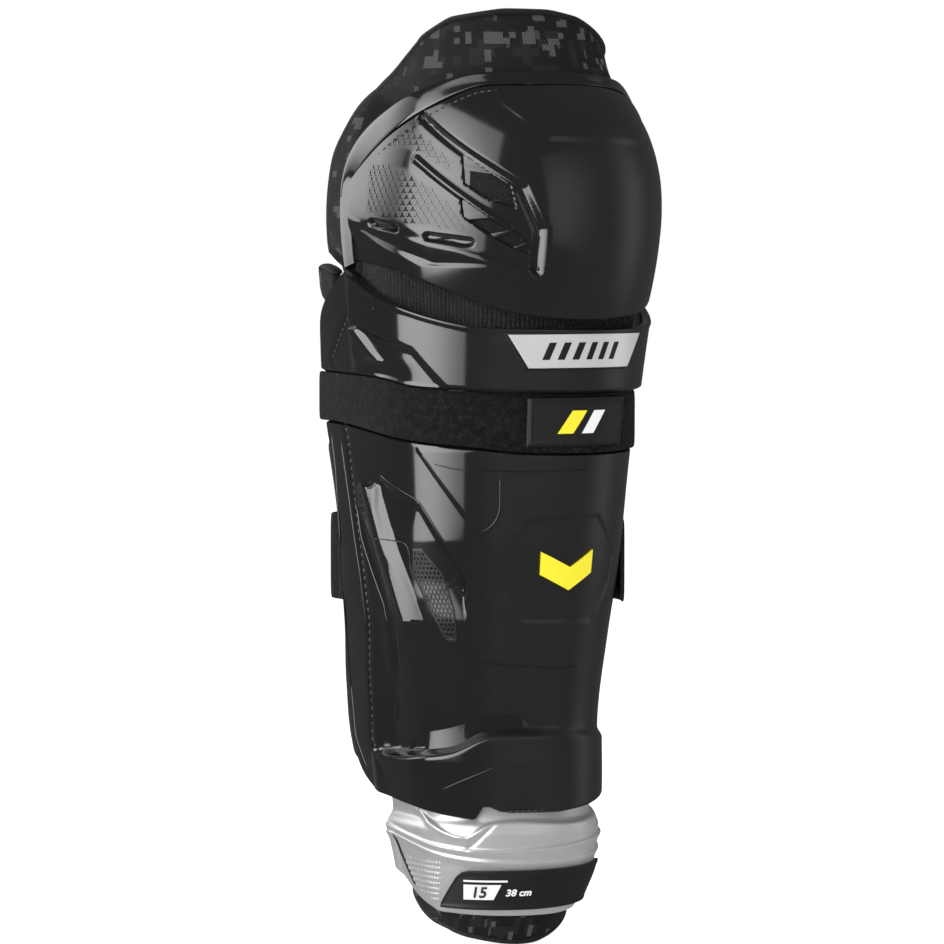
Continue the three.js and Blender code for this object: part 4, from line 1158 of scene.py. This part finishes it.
rim_inner = [(-107.6, 358), (-107.8, 388), (-107.6, 403), (-92, 420), (-77, 433), (-58, 444), (-45, 449.6),
             (-26, 450.3), (0, 450.3)]
rim_outer = [(-111.5, 355), (-112.4, 388), (-114.2, 407), (-112.4, 420), (-102.5, 432), (-84, 444.5),
             (-63, 452.6), (-47, 456.3), (0, 457.2)]


def mirrored(points):
    """The same points, then their mirror images in the centre line, so that the run goes right round;
    the inner side sits up to 5 mm lower over the shoulder."""
    return [*points, *[(-t, h - 5 * math.exp(-(((abs(t) - 68) / 26) ** 2))) for t, h in points[-2::-1]]]


class KneeCap(bpy.types.Operator):
    """Domed knee cap with its vents, its glossy rim and the row of stitches inside it"""

    bl_idname = "shin_guard.knee_cap"
    bl_label = "Knee cap"

    def execute(self, context):
        sizes = context.scene.shin_guard_sizes
        place = layer(cap_low, cap_high, -CAP_TURN, CAP_TURN)
        us = lines((0, 0.008, 3), (0.008, 0.4, 150), (0.4, 0.992, 110), (0.992, 1, 3))
        vs = lines((0, 0.015, 3), (0.015, 0.985, 160), (0.985, 1, 3))
        cap = moulded("knee_cap_skin", knee_leg, place, lambda t, h, u, v: cap_rise(t, h),
                      lambda t, h, u, v: np.minimum(cap_rise(t, h), 0) * 0.3 - sizes.cap_wall / MM, us, vs,
                      "knee", "black_gloss", rings=8, edge=1.0,
                      satin=cap_satin, void=cap_void)
        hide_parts("knee_cap")
        self.make_pips()
        self.make_rim()
        seam = [(t * 0.955, h - 3.2) for t, h in mirrored(rim_inner)[1:-1]]
        stitches("cap_stitches", knee_leg, [rounded(seam, 2.0, 8).tolist()], "knee", 0.2, 4.0, 2.7, 1.0, 0.6)
        mesh_low = plate("vent_mesh_low", knee_leg, [(-54, 366), (-24, 358), (-24, 378), (-54, 392)], -5.4,
                         -4.4, "knee", "vent_mesh")
        mesh_high = plate("vent_mesh_high", knee_leg, [(-54, 395), (-30, 382), (-30, 400), (-54, 416)], -5.4,
                          -4.4, "knee", "vent_mesh")
        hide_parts("vent_mesh_lower")
        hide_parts("vent_mesh_upper")
        return {"FINISHED"}

    def make_pips(self):
        """Three-legged pips on the outer side: each is three short ridges that meet at 120 degrees,
        copied on staggered rows where the field is open."""
        x, y = np.meshgrid(np.arange(-98, -48, PIP_PITCH / ARC), np.arange(370, 434, PIP_ROW))
        x = x + (np.round((y - 370) / PIP_ROW) % 2) * PIP_PITCH / ARC / 2
        keep = pip_field(x, y) > 0.75
        turn, height = x[keep], y[keep]
        leg = np.array([(0.0, -0.34), (1.45, -0.28), (1.65, 0.0), (1.45, 0.28), (0.0, 0.34)])
        base = []
        for k in range(3):
            a = math.radians(90 + 120 * k)
            base.append(leg @ np.array([(math.cos(a), math.sin(a)), (-math.sin(a), math.cos(a))]))
        flat = np.stack(base)
        spot_t = turn[:, None, None] + flat[None, ..., 0] / ARC
        spot_h = height[:, None, None] + flat[None, ..., 1]
        ground = cap_rise(turn, height)[:, None, None] + 0 * spot_t
        low = leg_point(knee_leg, spot_t, spot_h, ground - 0.35)
        top_t, top_h = mix(turn[:, None, None], spot_t, 0.9), mix(height[:, None, None], spot_h, 0.9)
        high = leg_point(knee_leg, top_t, top_h, ground + PIP_RISE)
        count = len(turn) * 3
        points = np.concatenate([low.reshape(count, 5, 3), high.reshape(count, 5, 3)], 1).reshape(-1, 3)
        start = (np.arange(count) * 10)[:, None]
        around = np.arange(5)
        sides = np.stack([around, np.roll(around, -1), np.roll(around, -1) + 5, around + 5], -1)
        quads = (start[:, None] + sides[None]).reshape(-1, 4)
        caps = np.concatenate([start + around[::-1], start + around + 5])
        make_piece("cap_pips", points, [quads, caps], "knee", "black_gloss", crease=30)

    def make_rim(self):
        """The rim: a strip between two lines round the cap. Across it the face climbs evenly for most of
        its width, then rolls over and drops to the cloth."""
        inner = rounded(mirrored(rim_inner), 1.6, 36)
        line = rounded(mirrored(rim_outer), 1.6, 36)
        outer = [np.interp(even(len(inner)), even(len(line)), line[:, k]) for k in (0, 1)]
        outer = np.stack(outer, -1)
        across = np.array([0, 0.04, 0.12, 0.3, 0.5, 0.7, 0.84, 0.9, 0.95, 0.98, 1.0])
        lift = np.array([0.2, 0.7, 1.1, 2.0, 3.1, 4.1, 4.6, 4.5, 3.8, 2.2, -0.6])
        spots = mix(inner[None], outer[None], across[:, None, None])
        turn, height = spots[..., 0], spots[..., 1]
        lift = lift[:, None] * mix(1, 0.45, smooth((height - 388) / 60))
        top = leg_point(knee_leg, turn, height, lift)
        under = leg_point(knee_leg, turn, height, np.minimum(lift, 1.0) - 2.0)
        rim_piece = wall("knee_rim_gloss", top, under, "knee", "black_gloss",
                         flatten(turn, height), 40)
        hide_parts("knee_rim")


# ---------------------------------------------------------------- linings and flaps
collar_top = polyline((-131, 414.6), (-126, 425), (-119, 438.7), (-110, 451), (-100, 463), (-88, 474),
                      (-62, 483.6), (-28, 487.7), (0, 487.5), (20, 484.5), (60, 471), (88, 461), (100, 452),
                      (119, 432), (131, 410))
collar_low = curve((-131, 347), (-112, 345), (-80, 362), (-40, 348), (0, 344), (40, 348), (80, 362),
                   (112, 350), (131, 354))


def collar_out(turn, height):
    """Offset of the collar's outer face: behind the knee foam low down, out to the cap's edge round
    both sides, and out again above the cap."""
    sides = mix(-13.4, 0.6, smooth((np.abs(turn) - 106) / 10))
    sides = mix(sides, -6.5, smooth((366 - height) / 9))
    return mix(sides, mix(-2.0, -1.0, smooth((np.abs(turn) - 100) / 12)), smooth((height - 436) / 15))


class KneeCollar(bpy.types.Operator):
    """Padded fabric collar round the knee and over its top, with its rolled binding"""

    bl_idname = "shin_guard.knee_collar"
    bl_label = "Knee collar"

    def execute(self, context):
        sizes = context.scene.shin_guard_sizes
        turn, vs = np.meshgrid(np.linspace(-COLLAR_TURN, COLLAR_TURN, 106), even(34))
        height = mix(collar_low(turn), collar_top(turn), vs)
        out = collar_out(turn, height)
        thick = 5.4 + 1.2 * smooth((height - 440) / 20)
        skins = [leg_point(knee_leg, turn, height, o) for o in (out, out - thick)]
        pattern = flatten(turn, height)
        quilt = (np.abs(np.abs(turn) - 100) < 1.3) & (height < 440)
        seams = quilt | (np.abs(vs - 0.9) < 0.016) | (np.abs(turn) < 60) & (np.abs(height - 444) < 3)
        collar = pad("knee_collar", skins, pattern, seams, None, "lining", 3.2,
                     sizes.puff / MM)
        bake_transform(collar)
        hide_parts("knee_lining", "thigh_flap")
        round_top = np.linspace(-COLLAR_TURN, COLLAR_TURN, 200)
        end = np.full(20, float(COLLAR_TURN))
        edge_turn = np.concatenate([-end, round_top, end])
        edge_high = np.concatenate([np.linspace(348, 414, 20), collar_top(round_top),
                                    np.linspace(409, 355, 20)])
        t, h = ease(np.stack([edge_turn, edge_high], -1), 5).T
        middle = collar_out(t, h) - 3.0
        path = leg_point(knee_leg, t, h, middle)
        roll = tube("collar_binding", path, leg_normal(knee_leg, t, h), 8.2, 3.8, None, "binding", 12)
        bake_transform(roll)
        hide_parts("thigh_binding", "knee_binding_outer", "knee_binding_inner")
        return {"FINISHED"}


class Padding(bpy.types.Operator):
    """Foam layers and the fabric linings behind the shin shell and the ankle guard"""

    bl_idname = "shin_guard.padding"
    bl_label = "Foam and linings"

    def execute(self, context):
        sizes = context.scene.shin_guard_sizes
        foam_high = lambda t: np.minimum(rim(t) - 14, 330)
        foam = leg_wall("shin_foam_layer", shin_leg, layer(lambda t: 104 + 0 * t, foam_high, -128, 94),
                        lambda t, h: np.clip(shell_inside(t, h, sizes) - 0.3, -12, -6.4),
                        lambda t, h: -13.4 + 0 * t, even(70),
                        even(50), "shin", "foam")
        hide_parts("shin_foam")
        cap_foam = leg_wall("knee_foam_layer", knee_leg, layer(lambda t: cap_low(t) + 10,
                            lambda t: np.minimum(cap_high(t) - 4, 436), -98, 98), lambda t, h: -5.2 + 0 * t,
                            lambda t, h: -12.2 + 0 * t, even(60), even(24), "knee",
                            "foam")
        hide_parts("knee_foam")
        u, v = np.meshgrid(even(76), even(66))
        turn, height = layer(lambda t: 102 + 0 * t, lambda t: foam_high(t) - 1, -126, 92)(u, v)
        ribs = (np.abs((height - 104) % 36 - 18) < 1.8) & (np.abs(turn + 17) < 96)
        columns = np.abs(np.abs(turn + 17) - 62) < 1.6
        skins = [leg_point(shin_leg, turn, height, -13.8 + 0 * turn),
                 leg_point(shin_leg, turn, height, -18.4 + 1.3 * (ribs | columns))]
        lining = pad("shin_lining_pad", skins, flatten(turn, height), ribs | columns, "shin",
                     "lining", 3.0, sizes.puff / MM)
        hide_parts("shin_lining")
        low = curve((-112, 26), (-104, 15), (-76, 7.5), (-44, 3), (-10, 0), (18, 3), (48, 9), (92, 22))
        u, v = np.meshgrid(even(66), even(30))
        turn, height = layer(low, lambda t: 88 + 0 * t, -112, 90)(u, v)
        out = curve((0, -5), (44, -5.2), (57, -9.4), (90, -9.4))(height)
        seam = np.abs(height - low(turn) - 6) < 1.6
        skins = [leg_point(shin_leg, turn, height, o) for o in (out - 0.5 * seam, out - 5)]
        skirt = pad("ankle_lining_pad", skins, flatten(turn, height), seam, "ankle", "lining", 3.0,
                    sizes.puff / MM * 0.8)
        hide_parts("ankle_lining")
        t = np.linspace(-112, 90, 150)
        h = low(t) + 0.9
        path = leg_point(shin_leg, t, h, curve((0, -5), (44, -5.2), (57, -9.4))(h) - 2.5)
        tube("ankle_lining_binding", path, leg_normal(shin_leg, t, h), 6.4, 3.4, "ankle", "binding", 12)
        return {"FINISHED"}


class Gusset(bpy.types.Operator):
    """Ribbed stretch mesh between the shell's rim and the knee cap"""

    bl_idname = "shin_guard.gusset"
    bl_label = "Stretch gusset"

    def execute(self, context):
        place = layer(lambda t: rim(t) - 12, lambda t: cap_low(t) + 5, -104, 96)

        def outer(turn, height):
            base = mix(-3.6, -8.6, smooth((np.abs(turn) - 28) / 34) * (1 - smooth((-turn - 70) / 20)))
            return base + 0.32 * np.sin(turn * ARC * 2 * np.pi / 2.3)

        mesh = leg_wall("knee_gusset_mesh", shin_leg, place, outer, lambda t, h: outer(t, h) - 0.9,
                        even(520), even(16), None, "mesh", 0)
        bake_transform(mesh)
        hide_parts("knee_gusset")
        return {"FINISHED"}


# ---------------------------------------------------------------- straps
def ribbon(name, plan, normal, low, high, thick, closed, body, look):
    """A flat elastic: at each step along its plan a closed section with rounded edges, from low to high
    and from the inner face out by its thickness."""
    sides = 28
    angle = np.linspace(0, 2 * np.pi, sides, endpoint=False)
    up = 0.5 + 0.5 * np.sign(np.cos(angle)) * np.abs(np.cos(angle)) ** 0.42
    out = 0.5 + 0.5 * np.sign(np.sin(angle)) * np.abs(np.sin(angle)) ** 0.42
    z = mix(low[:, None], high[:, None], up[None])
    xy = plan[:, None] + normal[:, None] * (out * thick * MM)[None, :, None]
    points = np.concatenate([xy, (z * MM)[..., None]], -1)
    count = len(plan)
    n = np.arange(count * sides).reshape(count, sides)
    rows = np.vstack([n, n[:1]]) if closed else n
    faces = [np.concatenate([band_quads(a, b) for a, b in zip(rows, rows[1:])])]
    if not closed:
        faces += [n[:1], n[-1:, ::-1]]
    run = np.concatenate([[0], np.cumsum(np.linalg.norm(np.diff(plan, axis=0), axis=1))]) / MM
    pattern = np.stack(np.broadcast_arrays(run[:, None], z), -1)
    return make_piece(name, points, faces, body, look, pattern, 60)


def on_leg(turns, out, middle=200):
    """Plan of a strap that lies on the shell: its points and outward normals at its middle height."""
    a, b = (leg_point(shin_leg, turns, middle + 0 * turns, o)[:, :2] for o in (out, out + 1))
    return a, (b - a) / np.linalg.norm(b - a, axis=1, keepdims=True)


def bezier(start, end, lead, trail, parts):
    """Plan of a strap behind the calf: a cubic through the ends of the two sides, with its outward
    normals, a quarter turn from its direction."""
    f = np.linspace(0, 1, parts + 1)[1:-1, None]
    a, b = start + np.array(lead) * MM, end + np.array(trail) * MM
    p = (1 - f) ** 3 * start + 3 * (1 - f) ** 2 * f * a + 3 * (1 - f) * f**2 * b + f**3 * end
    d = 3 * (1 - f) ** 2 * (a - start) + 6 * (1 - f) * f * (b - a) + 3 * f**2 * (end - b)
    d /= np.linalg.norm(d, axis=1, keepdims=True)
    return p, np.stack([d[:, 1], -d[:, 0]], -1)


class Straps(bpy.types.Operator):
    """Upper strap in its channel, lower calf strap and its hook tab"""

    bl_idname = "shin_guard.straps"
    bl_label = "Straps"

    def execute(self, context):
        thick = context.scene.shin_guard_sizes.strap_thick / MM
        turns = np.linspace(-151, 114, 150)
        low, high = channel_low(turns) + 0.2, channel_high(turns) - 0.2
        plan, normal = on_leg(turns, -1.8, (low + high) / 2)
        rear, rear_normal = bezier(plan[-1], plan[0], (2, 52), (8, 34), 70)
        f = np.linspace(0, 1, len(rear) + 2)[1:-1]
        low = np.concatenate([low, mix(low[-1], low[0], f)])
        high = np.concatenate([high, mix(high[-1], high[0], f)])
        upper = ribbon("upper_strap_elastic", np.vstack([plan, rear]), np.vstack([normal, rear_normal]), low,
                       high, thick, True, "shin", "strap")
        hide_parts("upper_strap")
        inner_turns, outer_turns = np.linspace(88, 116, 16), np.linspace(-152, -131, 14)
        a, an = on_leg(inner_turns, 0.9)
        b, bn = on_leg(outer_turns, -5.4)
        rear, rear_normal = bezier(a[-1], b[0], (2, 44), (-5, 44), 60)
        plan, normal = np.vstack([a, rear, b]), np.vstack([an, rear_normal, bn])
        tall = np.full(len(plan), 1.0)
        lower = ribbon("lower_strap_elastic", plan, normal, 177 * tall, 223 * tall, thick, False, "shin",
                       "strap")
        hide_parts("lower_strap")
        c, cn = on_leg(np.linspace(58, 87.2, 20), 0.9)
        tab = ribbon("lower_strap_hook", c, cn, np.full(20, 178.0), np.full(20, 222.0), thick - 0.2, False,
                     "rear_tab", "band_rubber")
        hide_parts("lower_strap_tab")
        return {"FINISHED"}


class PullTab(bpy.types.Operator):
    """Rubber pull tab on the upper strap, with a raised border and two plain slanted bars"""

    bl_idname = "shin_guard.pull_tab"
    bl_label = "Pull tab"

    def execute(self, context):
        corners = [(-22, 263.5), (26, 263.5), (26, 288.5), (-22, 288.5)]

        def border_rise(t, h):
            gap = np.minimum(np.minimum(t + 22, 26 - t) * ARC, np.minimum(h - 263.5, 288.5 - h))
            return 0.55 * smooth((gap - 0.9) / 0.5) * (1 - smooth((gap - 2.1) / 0.6))

        tab = plate("pull_tab_rubber", shin_leg, corners, 0.95, 3.0, "front_tab", "band_rubber", 0.6, 0.6,
                    border_rise)
        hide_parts("pull_tab")
        for name, start, wide, look in (("tab_bar_yellow", -10, 6.5, "yellow_print"),
                                        ("tab_bar_white", 0.5, 6.0, "white_print")):
            corners = [(start, 270), (start + wide, 270), (start + wide + 6, 282), (start + 6, 282)]
            bar = plate(name + "_print", shin_leg, corners, 2.9, 3.6, "front_tab", look, 1.0, 0.25)
            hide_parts(name)
        return {"FINISHED"}


# ---------------------------------------------------------------- calf flaps
calf_flaps = (
    dict(name="outer_calf", sign=-1, lean=8.0, reach=(49.5, 84), bend_at=50, bend=50, out=-12.8,
         high=curve((49, 353), (56, 355.5), (63, 356.5), (72, 356.5), (80, 353), (84, 340)),
         low=curve((49, 128), (60, 124), (74, 124), (84, 138))),
    dict(name="inner_calf", sign=1, lean=0.0, reach=(7.5, 58), bend_at=20, bend=46, out=-6.8,
         high=curve((7, 316), (24, 326), (42, 326), (52, 318), (58, 300)),
         low=curve((7, 142), (24, 138), (46, 142), (58, 164))),
)


class CalfFlaps(bpy.types.Operator):
    """Padded calf flaps behind both wings, each with a rolled binding on its free edges"""

    bl_idname = "shin_guard.calf_flaps"
    bl_label = "Calf flaps"

    def execute(self, context):
        sizes = context.scene.shin_guard_sizes
        for f in calf_flaps:
            u, v = np.meshgrid(even(24), even(76))
            reach = mix(*f["reach"], u)
            height = mix(f["low"](reach) + 2, f["high"](reach) - 2, v)
            seams = (np.abs(u - 0.5) < 0.025) & (v > 0.1) & (v < 0.9) | (np.abs(v - 0.5) < 0.008)
            lean = f["lean"] * smooth((height - 328) / 16)
            bend = f["bend_at"], f["bend"]
            skins = [wrap_point(shin_leg, f["sign"], reach, height, o + lean + SEAM_PULL * s * seams, *bend)
                     for o, s in ((f["out"], -1), (f["out"] - 7, 1))]
            flap = pad(f["name"] + "_pad", skins, np.stack([reach * 1.0, height], -1), seams, f["name"],
                       "lining", 3.4, sizes.puff / MM)
            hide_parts(f["name"] + "_flap")
            r = np.linspace(*f["reach"], 40)
            top, low = f["high"](r) - 1.2, f["low"](r) + 1.2
            side = np.linspace(0, 1, 40)[1:-1]
            run = np.concatenate([r, np.full(38, r[-1]), r[::-1]])
            tall = np.concatenate([top, mix(top[-1], low[-1], side), low[::-1]])
            run, tall = ease(np.stack([run, tall], -1), 4).T
            middle = f["out"] - 3.5 + f["lean"] * smooth((tall - 328) / 16)
            path, beyond = (wrap_point(shin_leg, f["sign"], run, tall, o, *bend)
                            for o in (middle, middle + 1))
            away = beyond - path
            roll = tube(f["name"] + "_roll", path, away, 8.0, 3.6, f["name"], "binding", 12)
            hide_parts(f["name"] + "_binding")
        return {"FINISHED"}


# ---------------------------------------------------------------- kept CAD pieces and the stage
class KeptParts(bpy.types.Operator):
    """Gives the rivets and the breather mesh, which are carried over, their finishes"""

    bl_idname = "shin_guard.kept_parts"
    bl_label = "Carried-over pieces"

    def execute(self, context):
        looks = {"breather_mesh": "vent_mesh", "outer_rivet": "rivet_metal", "inner_rivet": "rivet_metal"}
        for name, look in looks.items():
            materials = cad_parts[name].data.materials
            materials.clear()
            materials.append(finishes[look])
        return {"FINISHED"}


MIDDLE = np.array([0, 0, 0.25])  # of the guard, which the lights face


def aim(azimuth, elevation):
    """The turn that faces the guard from a direction, in degrees round it and above it, with the unit
    vectors away from the guard and to the right."""
    a, e = math.radians(azimuth), math.radians(elevation)
    away = np.array([math.sin(a) * math.cos(e), -math.cos(a) * math.cos(e), math.sin(e)])
    return (math.pi / 2 - e, 0, a), away, np.array([math.cos(a), math.sin(a), 0])


def add_object(name, data):
    """An object of the stage, in the scene."""
    made = bpy.data.objects.new(name, data)
    bpy.context.scene.collection.objects.link(made)
    return made


def area_light(name, azimuth, elevation, distance, size, power):
    """A soft panel that faces the guard, and doesn't show in its reflections."""
    turn, away, _ = aim(azimuth, elevation)
    data = bpy.data.lights.new(name, "AREA")
    data.shape = "RECTANGLE"
    data.size, data.size_y = size
    data.energy = power
    lamp = add_object(name, data)
    lamp.location = MIDDLE + away * distance
    lamp.rotation_euler = turn
    lamp.visible_glossy = False


class Stage(bpy.types.Operator):
    """Pale floor, soft studio panels and the camera"""

    bl_idname = "shin_guard.stage"
    bl_label = "Stage"

    def execute(self, context):
        view = context.scene.shin_guard_stage
        self.make_floor()
        self.make_world(view)
        self.make_softbox("key_softbox", -76, 20.8, 1.55, (1.72, 2.25), view.key)
        self.make_softbox("shoulder_softbox", -136, 25, 1.8, (1.3, 1.3), view.key * 0.55)
        self.make_softbox("front_softbox", 12, 14, 2.6, (1.7, 2.2), view.key * 0.09)
        self.make_softbox("right_softbox", 72, 8, 2.2, (1.0, 2.0), view.key * 0.11)
        area_light("key_panel", -60, 22, 2.0, (1.8, 1.8), view.fill)
        area_light("front_panel", 20, 25, 2.4, (1.6, 1.6), view.fill * 0.5)
        area_light("top_panel", -30, 78, 1.6, (1.2, 1.2), view.fill * 0.3)
        self.make_camera(view)
        context.scene.view_settings.view_transform = "Standard"
        return {"FINISHED"}

    def make_softbox(self, name, azimuth, elevation, distance, size, strength):
        """A panel that only reflections see: brightest a little above its middle, and fading by a
        smooth bell of the distance from there to nearly half at its corners."""
        _, away, right = aim(azimuth, elevation)
        up = -np.cross(away, right)
        middle = MIDDLE + away * distance
        corners = [middle + right * x * size[0] / 2 + up * y * size[1] / 2
                   for x, y in ((-1, -1), (1, -1), (1, 1), (-1, 1))]
        mesh = bpy.data.meshes.new(name)
        mesh.from_pydata([c.tolist() for c in corners], [], [(0, 1, 2, 3)])
        layer = mesh.uv_layers.new(name="panel")
        layer.data.foreach_set("uv", np.array([0, 0, 1, 0, 1, 1, 0, 1], np.float32))
        f = Finish(name, (0, 0, 0), 1.0)
        offset = f.node("VectorMath", operation="DISTANCE")
        f.link(f.place("UV"), offset, 0)
        offset.inputs[1].default_value = (0.3, 0.6, 0)
        bell = f.node("MapRange", interpolation_type="SMOOTHSTEP")
        f.link(offset.outputs["Value"], bell, "Value")
        for key, value in (("From Min", 0.12), ("From Max", 0.8), ("To Min", 1.0), ("To Max", 0.3)):
            bell.inputs[key].default_value = value
        f.set("Emission Color", (1, 1, 1, 1))
        f.link(f.maths("MULTIPLY", bell.outputs[0], strength), f.shader, "Emission Strength")
        mesh.materials.append(f.material)
        panel = add_object(name, mesh)
        panel.visible_camera = panel.visible_diffuse = panel.visible_shadow = False
        panel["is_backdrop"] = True

    def make_floor(self):
        """A wide flat square just under the guard, pale and matt."""
        low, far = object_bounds()[0][2] - 0.0006, 6.0
        mesh = bpy.data.meshes.new("floor")
        mesh.from_pydata([(x, y, low) for y in (-far, far) for x in (-far, far)], [], [(0, 1, 3, 2)])
        f = Finish("pale_floor", (0.9, 0.9, 0.9), 0.9, Emission_Strength=0.82)
        f.set("Emission Color", (1, 1, 1, 1))
        mesh.materials.append(f.material)
        floor = add_object("floor", mesh)
        floor.visible_glossy = False
        floor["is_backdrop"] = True

    def make_world(self, view):
        """White behind the guard, a dim room in its reflections, soft light elsewhere."""
        world = bpy.data.worlds.new("studio")
        bpy.context.scene.world = world
        world.use_nodes = True
        tree = world.node_tree
        background = tree.nodes["Background"]
        path, room, seen = (tree.nodes.new("ShaderNode" + kind) for kind in ("LightPath", "Mix", "Mix"))
        room.data_type = seen.data_type = "RGBA"
        for node, socket, grey in ((room, 6, view.ambient), (room, 7, view.room), (seen, 7, 1)):
            node.inputs[socket].default_value = (grey, grey, grey, 1)
        tree.links.new(path.outputs["Is Glossy Ray"], room.inputs[0])
        tree.links.new(path.outputs["Is Camera Ray"], seen.inputs[0])
        tree.links.new(room.outputs[2], seen.inputs[6])
        tree.links.new(seen.outputs[2], background.inputs["Color"])

    def make_camera(self, view):
        """A long lens on the guard's outer front quarter."""
        turn, away, right = aim(view.azimuth, view.elevation)
        target = right * -0.0192 + np.array([0, 0, 0.247])
        data = bpy.data.cameras.new("camera")
        data.lens = view.lens
        data.sensor_width = 36
        data.clip_end = 50
        camera = add_object("camera", data)
        camera.location = target + away * view.distance
        camera.rotation_euler = turn
        bpy.context.scene.camera = camera


# ---------------------------------------------------------------- the add-on
def length(name, description, default):
    """A length property, in metres."""
    return bpy.props.FloatProperty(name=name, description=description, default=default, min=0.0,
                                   subtype="DISTANCE", unit="LENGTH", precision=4)


def tint(name, description, default):
    """A colour property."""
    return bpy.props.FloatVectorProperty(name=name, description=description, default=default, size=3,
                                         min=0.0, max=1.0, subtype="COLOR")


class ShinGuardSizes(bpy.types.PropertyGroup):
    shell_wall: length("Shell wall", "Thickness of the moulded shin shell", 0.0026)
    cap_wall: length("Cap wall", "Thickness of the knee cap", 0.0028)
    channel_depth: length("Channel depth", "How far the strap channel steps in", 0.0022)
    band_rise: length("Band rise", "How far the upper band stands out", 0.0020)
    hem_rise: length("Hem rise", "How far the lower hem stands out", 0.0026)
    strap_thick: length("Strap thickness", "Thickness of the elastic straps", 0.0024)
    puff: length("Padding puff", "Most that the padding swells between its seams", 0.0016)


class ShinGuardColours(bpy.types.PropertyGroup):
    gloss: tint("Gloss black", "Moulded plastic", (0.0075, 0.0075, 0.0078))
    silver: tint("Silver", "Painted ankle guard", (0.47, 0.472, 0.478))
    plate: tint("Plate", "Polished plate", (0.62, 0.62, 0.63))
    yellow: tint("Yellow", "Yellow print", (0.86, 0.74, 0.01))
    white: tint("White", "White print", (0.80, 0.80, 0.80))
    lining: tint("Lining", "Dark tone of the lining cloth", (0.0045, 0.0045, 0.005))
    patches: tint("Patches", "Light patches of the lining cloth", (0.075, 0.077, 0.08))
    strap: tint("Strap", "Brushed elastic", (0.0035, 0.0035, 0.0035))


class ShinGuardStage(bpy.types.PropertyGroup):
    azimuth: bpy.props.FloatProperty(name="Azimuth", description="Camera direction round the guard, degrees",
                                     default=-33.0)
    elevation: bpy.props.FloatProperty(name="Elevation", description="Camera height above level, degrees",
                                       default=3.0)
    distance: length("Distance", "From the camera to the guard", 2.4)
    lens: bpy.props.FloatProperty(name="Lens", description="Focal length", default=172.7, unit="CAMERA")
    key: bpy.props.FloatProperty(name="Key light", description="Brightness of the tall softbox", default=8.4)
    fill: bpy.props.FloatProperty(name="Fill light", description="Power of the front panel", default=22.0,
                                  unit="POWER")
    ambient: bpy.props.FloatProperty(name="Ambient", description="Light from all round", default=0.32)
    room: bpy.props.FloatProperty(name="Room", description="Brightness of the room in reflections",
                                  default=0.13)


builders = (ShinShell, BreatherPanel, ShellTrims, AnkleGuard, KneeCap, KneeCollar, Padding, Gusset, Straps,
            PullTab, CalfFlaps, KeptParts, Stage)
groups = (("shin_guard_sizes", ShinGuardSizes), ("shin_guard_colours", ShinGuardColours),
          ("shin_guard_stage", ShinGuardStage))


class ShinGuardPanel(bpy.types.Panel):
    """Sizes, colours and builders of the shin guard"""

    bl_idname = "VIEW3D_PT_shin_guard"
    bl_label = "Shin guard"
    bl_space_type = "VIEW_3D"
    bl_region_type = "UI"
    bl_category = "Shin guard"

    def draw(self, context):
        for name, group in groups:
            box = self.layout.box()
            for prop in group.__annotations__:
                box.prop(getattr(context.scene, name), prop)
        for builder in builders:
            self.layout.operator(builder.bl_idname)


def register():
    for name, group in groups:
        bpy.utils.register_class(group)
        setattr(bpy.types.Scene, name, bpy.props.PointerProperty(type=group))
    for item in (*builders, ShinGuardPanel):
        bpy.utils.register_class(item)


def unregister():
    for item in (ShinGuardPanel, *reversed(builders)):
        bpy.utils.unregister_class(item)
    for name, group in reversed(groups):
        delattr(bpy.types.Scene, name)
        bpy.utils.unregister_class(group)


def main():
    """Builds everything in order."""
    register()
    make_finishes(bpy.context.scene.shin_guard_colours)
    for builder in builders:
        area, name = builder.bl_idname.split(".")
        getattr(getattr(bpy.ops, area), name)()


if __name__ == "__main__":
    main()
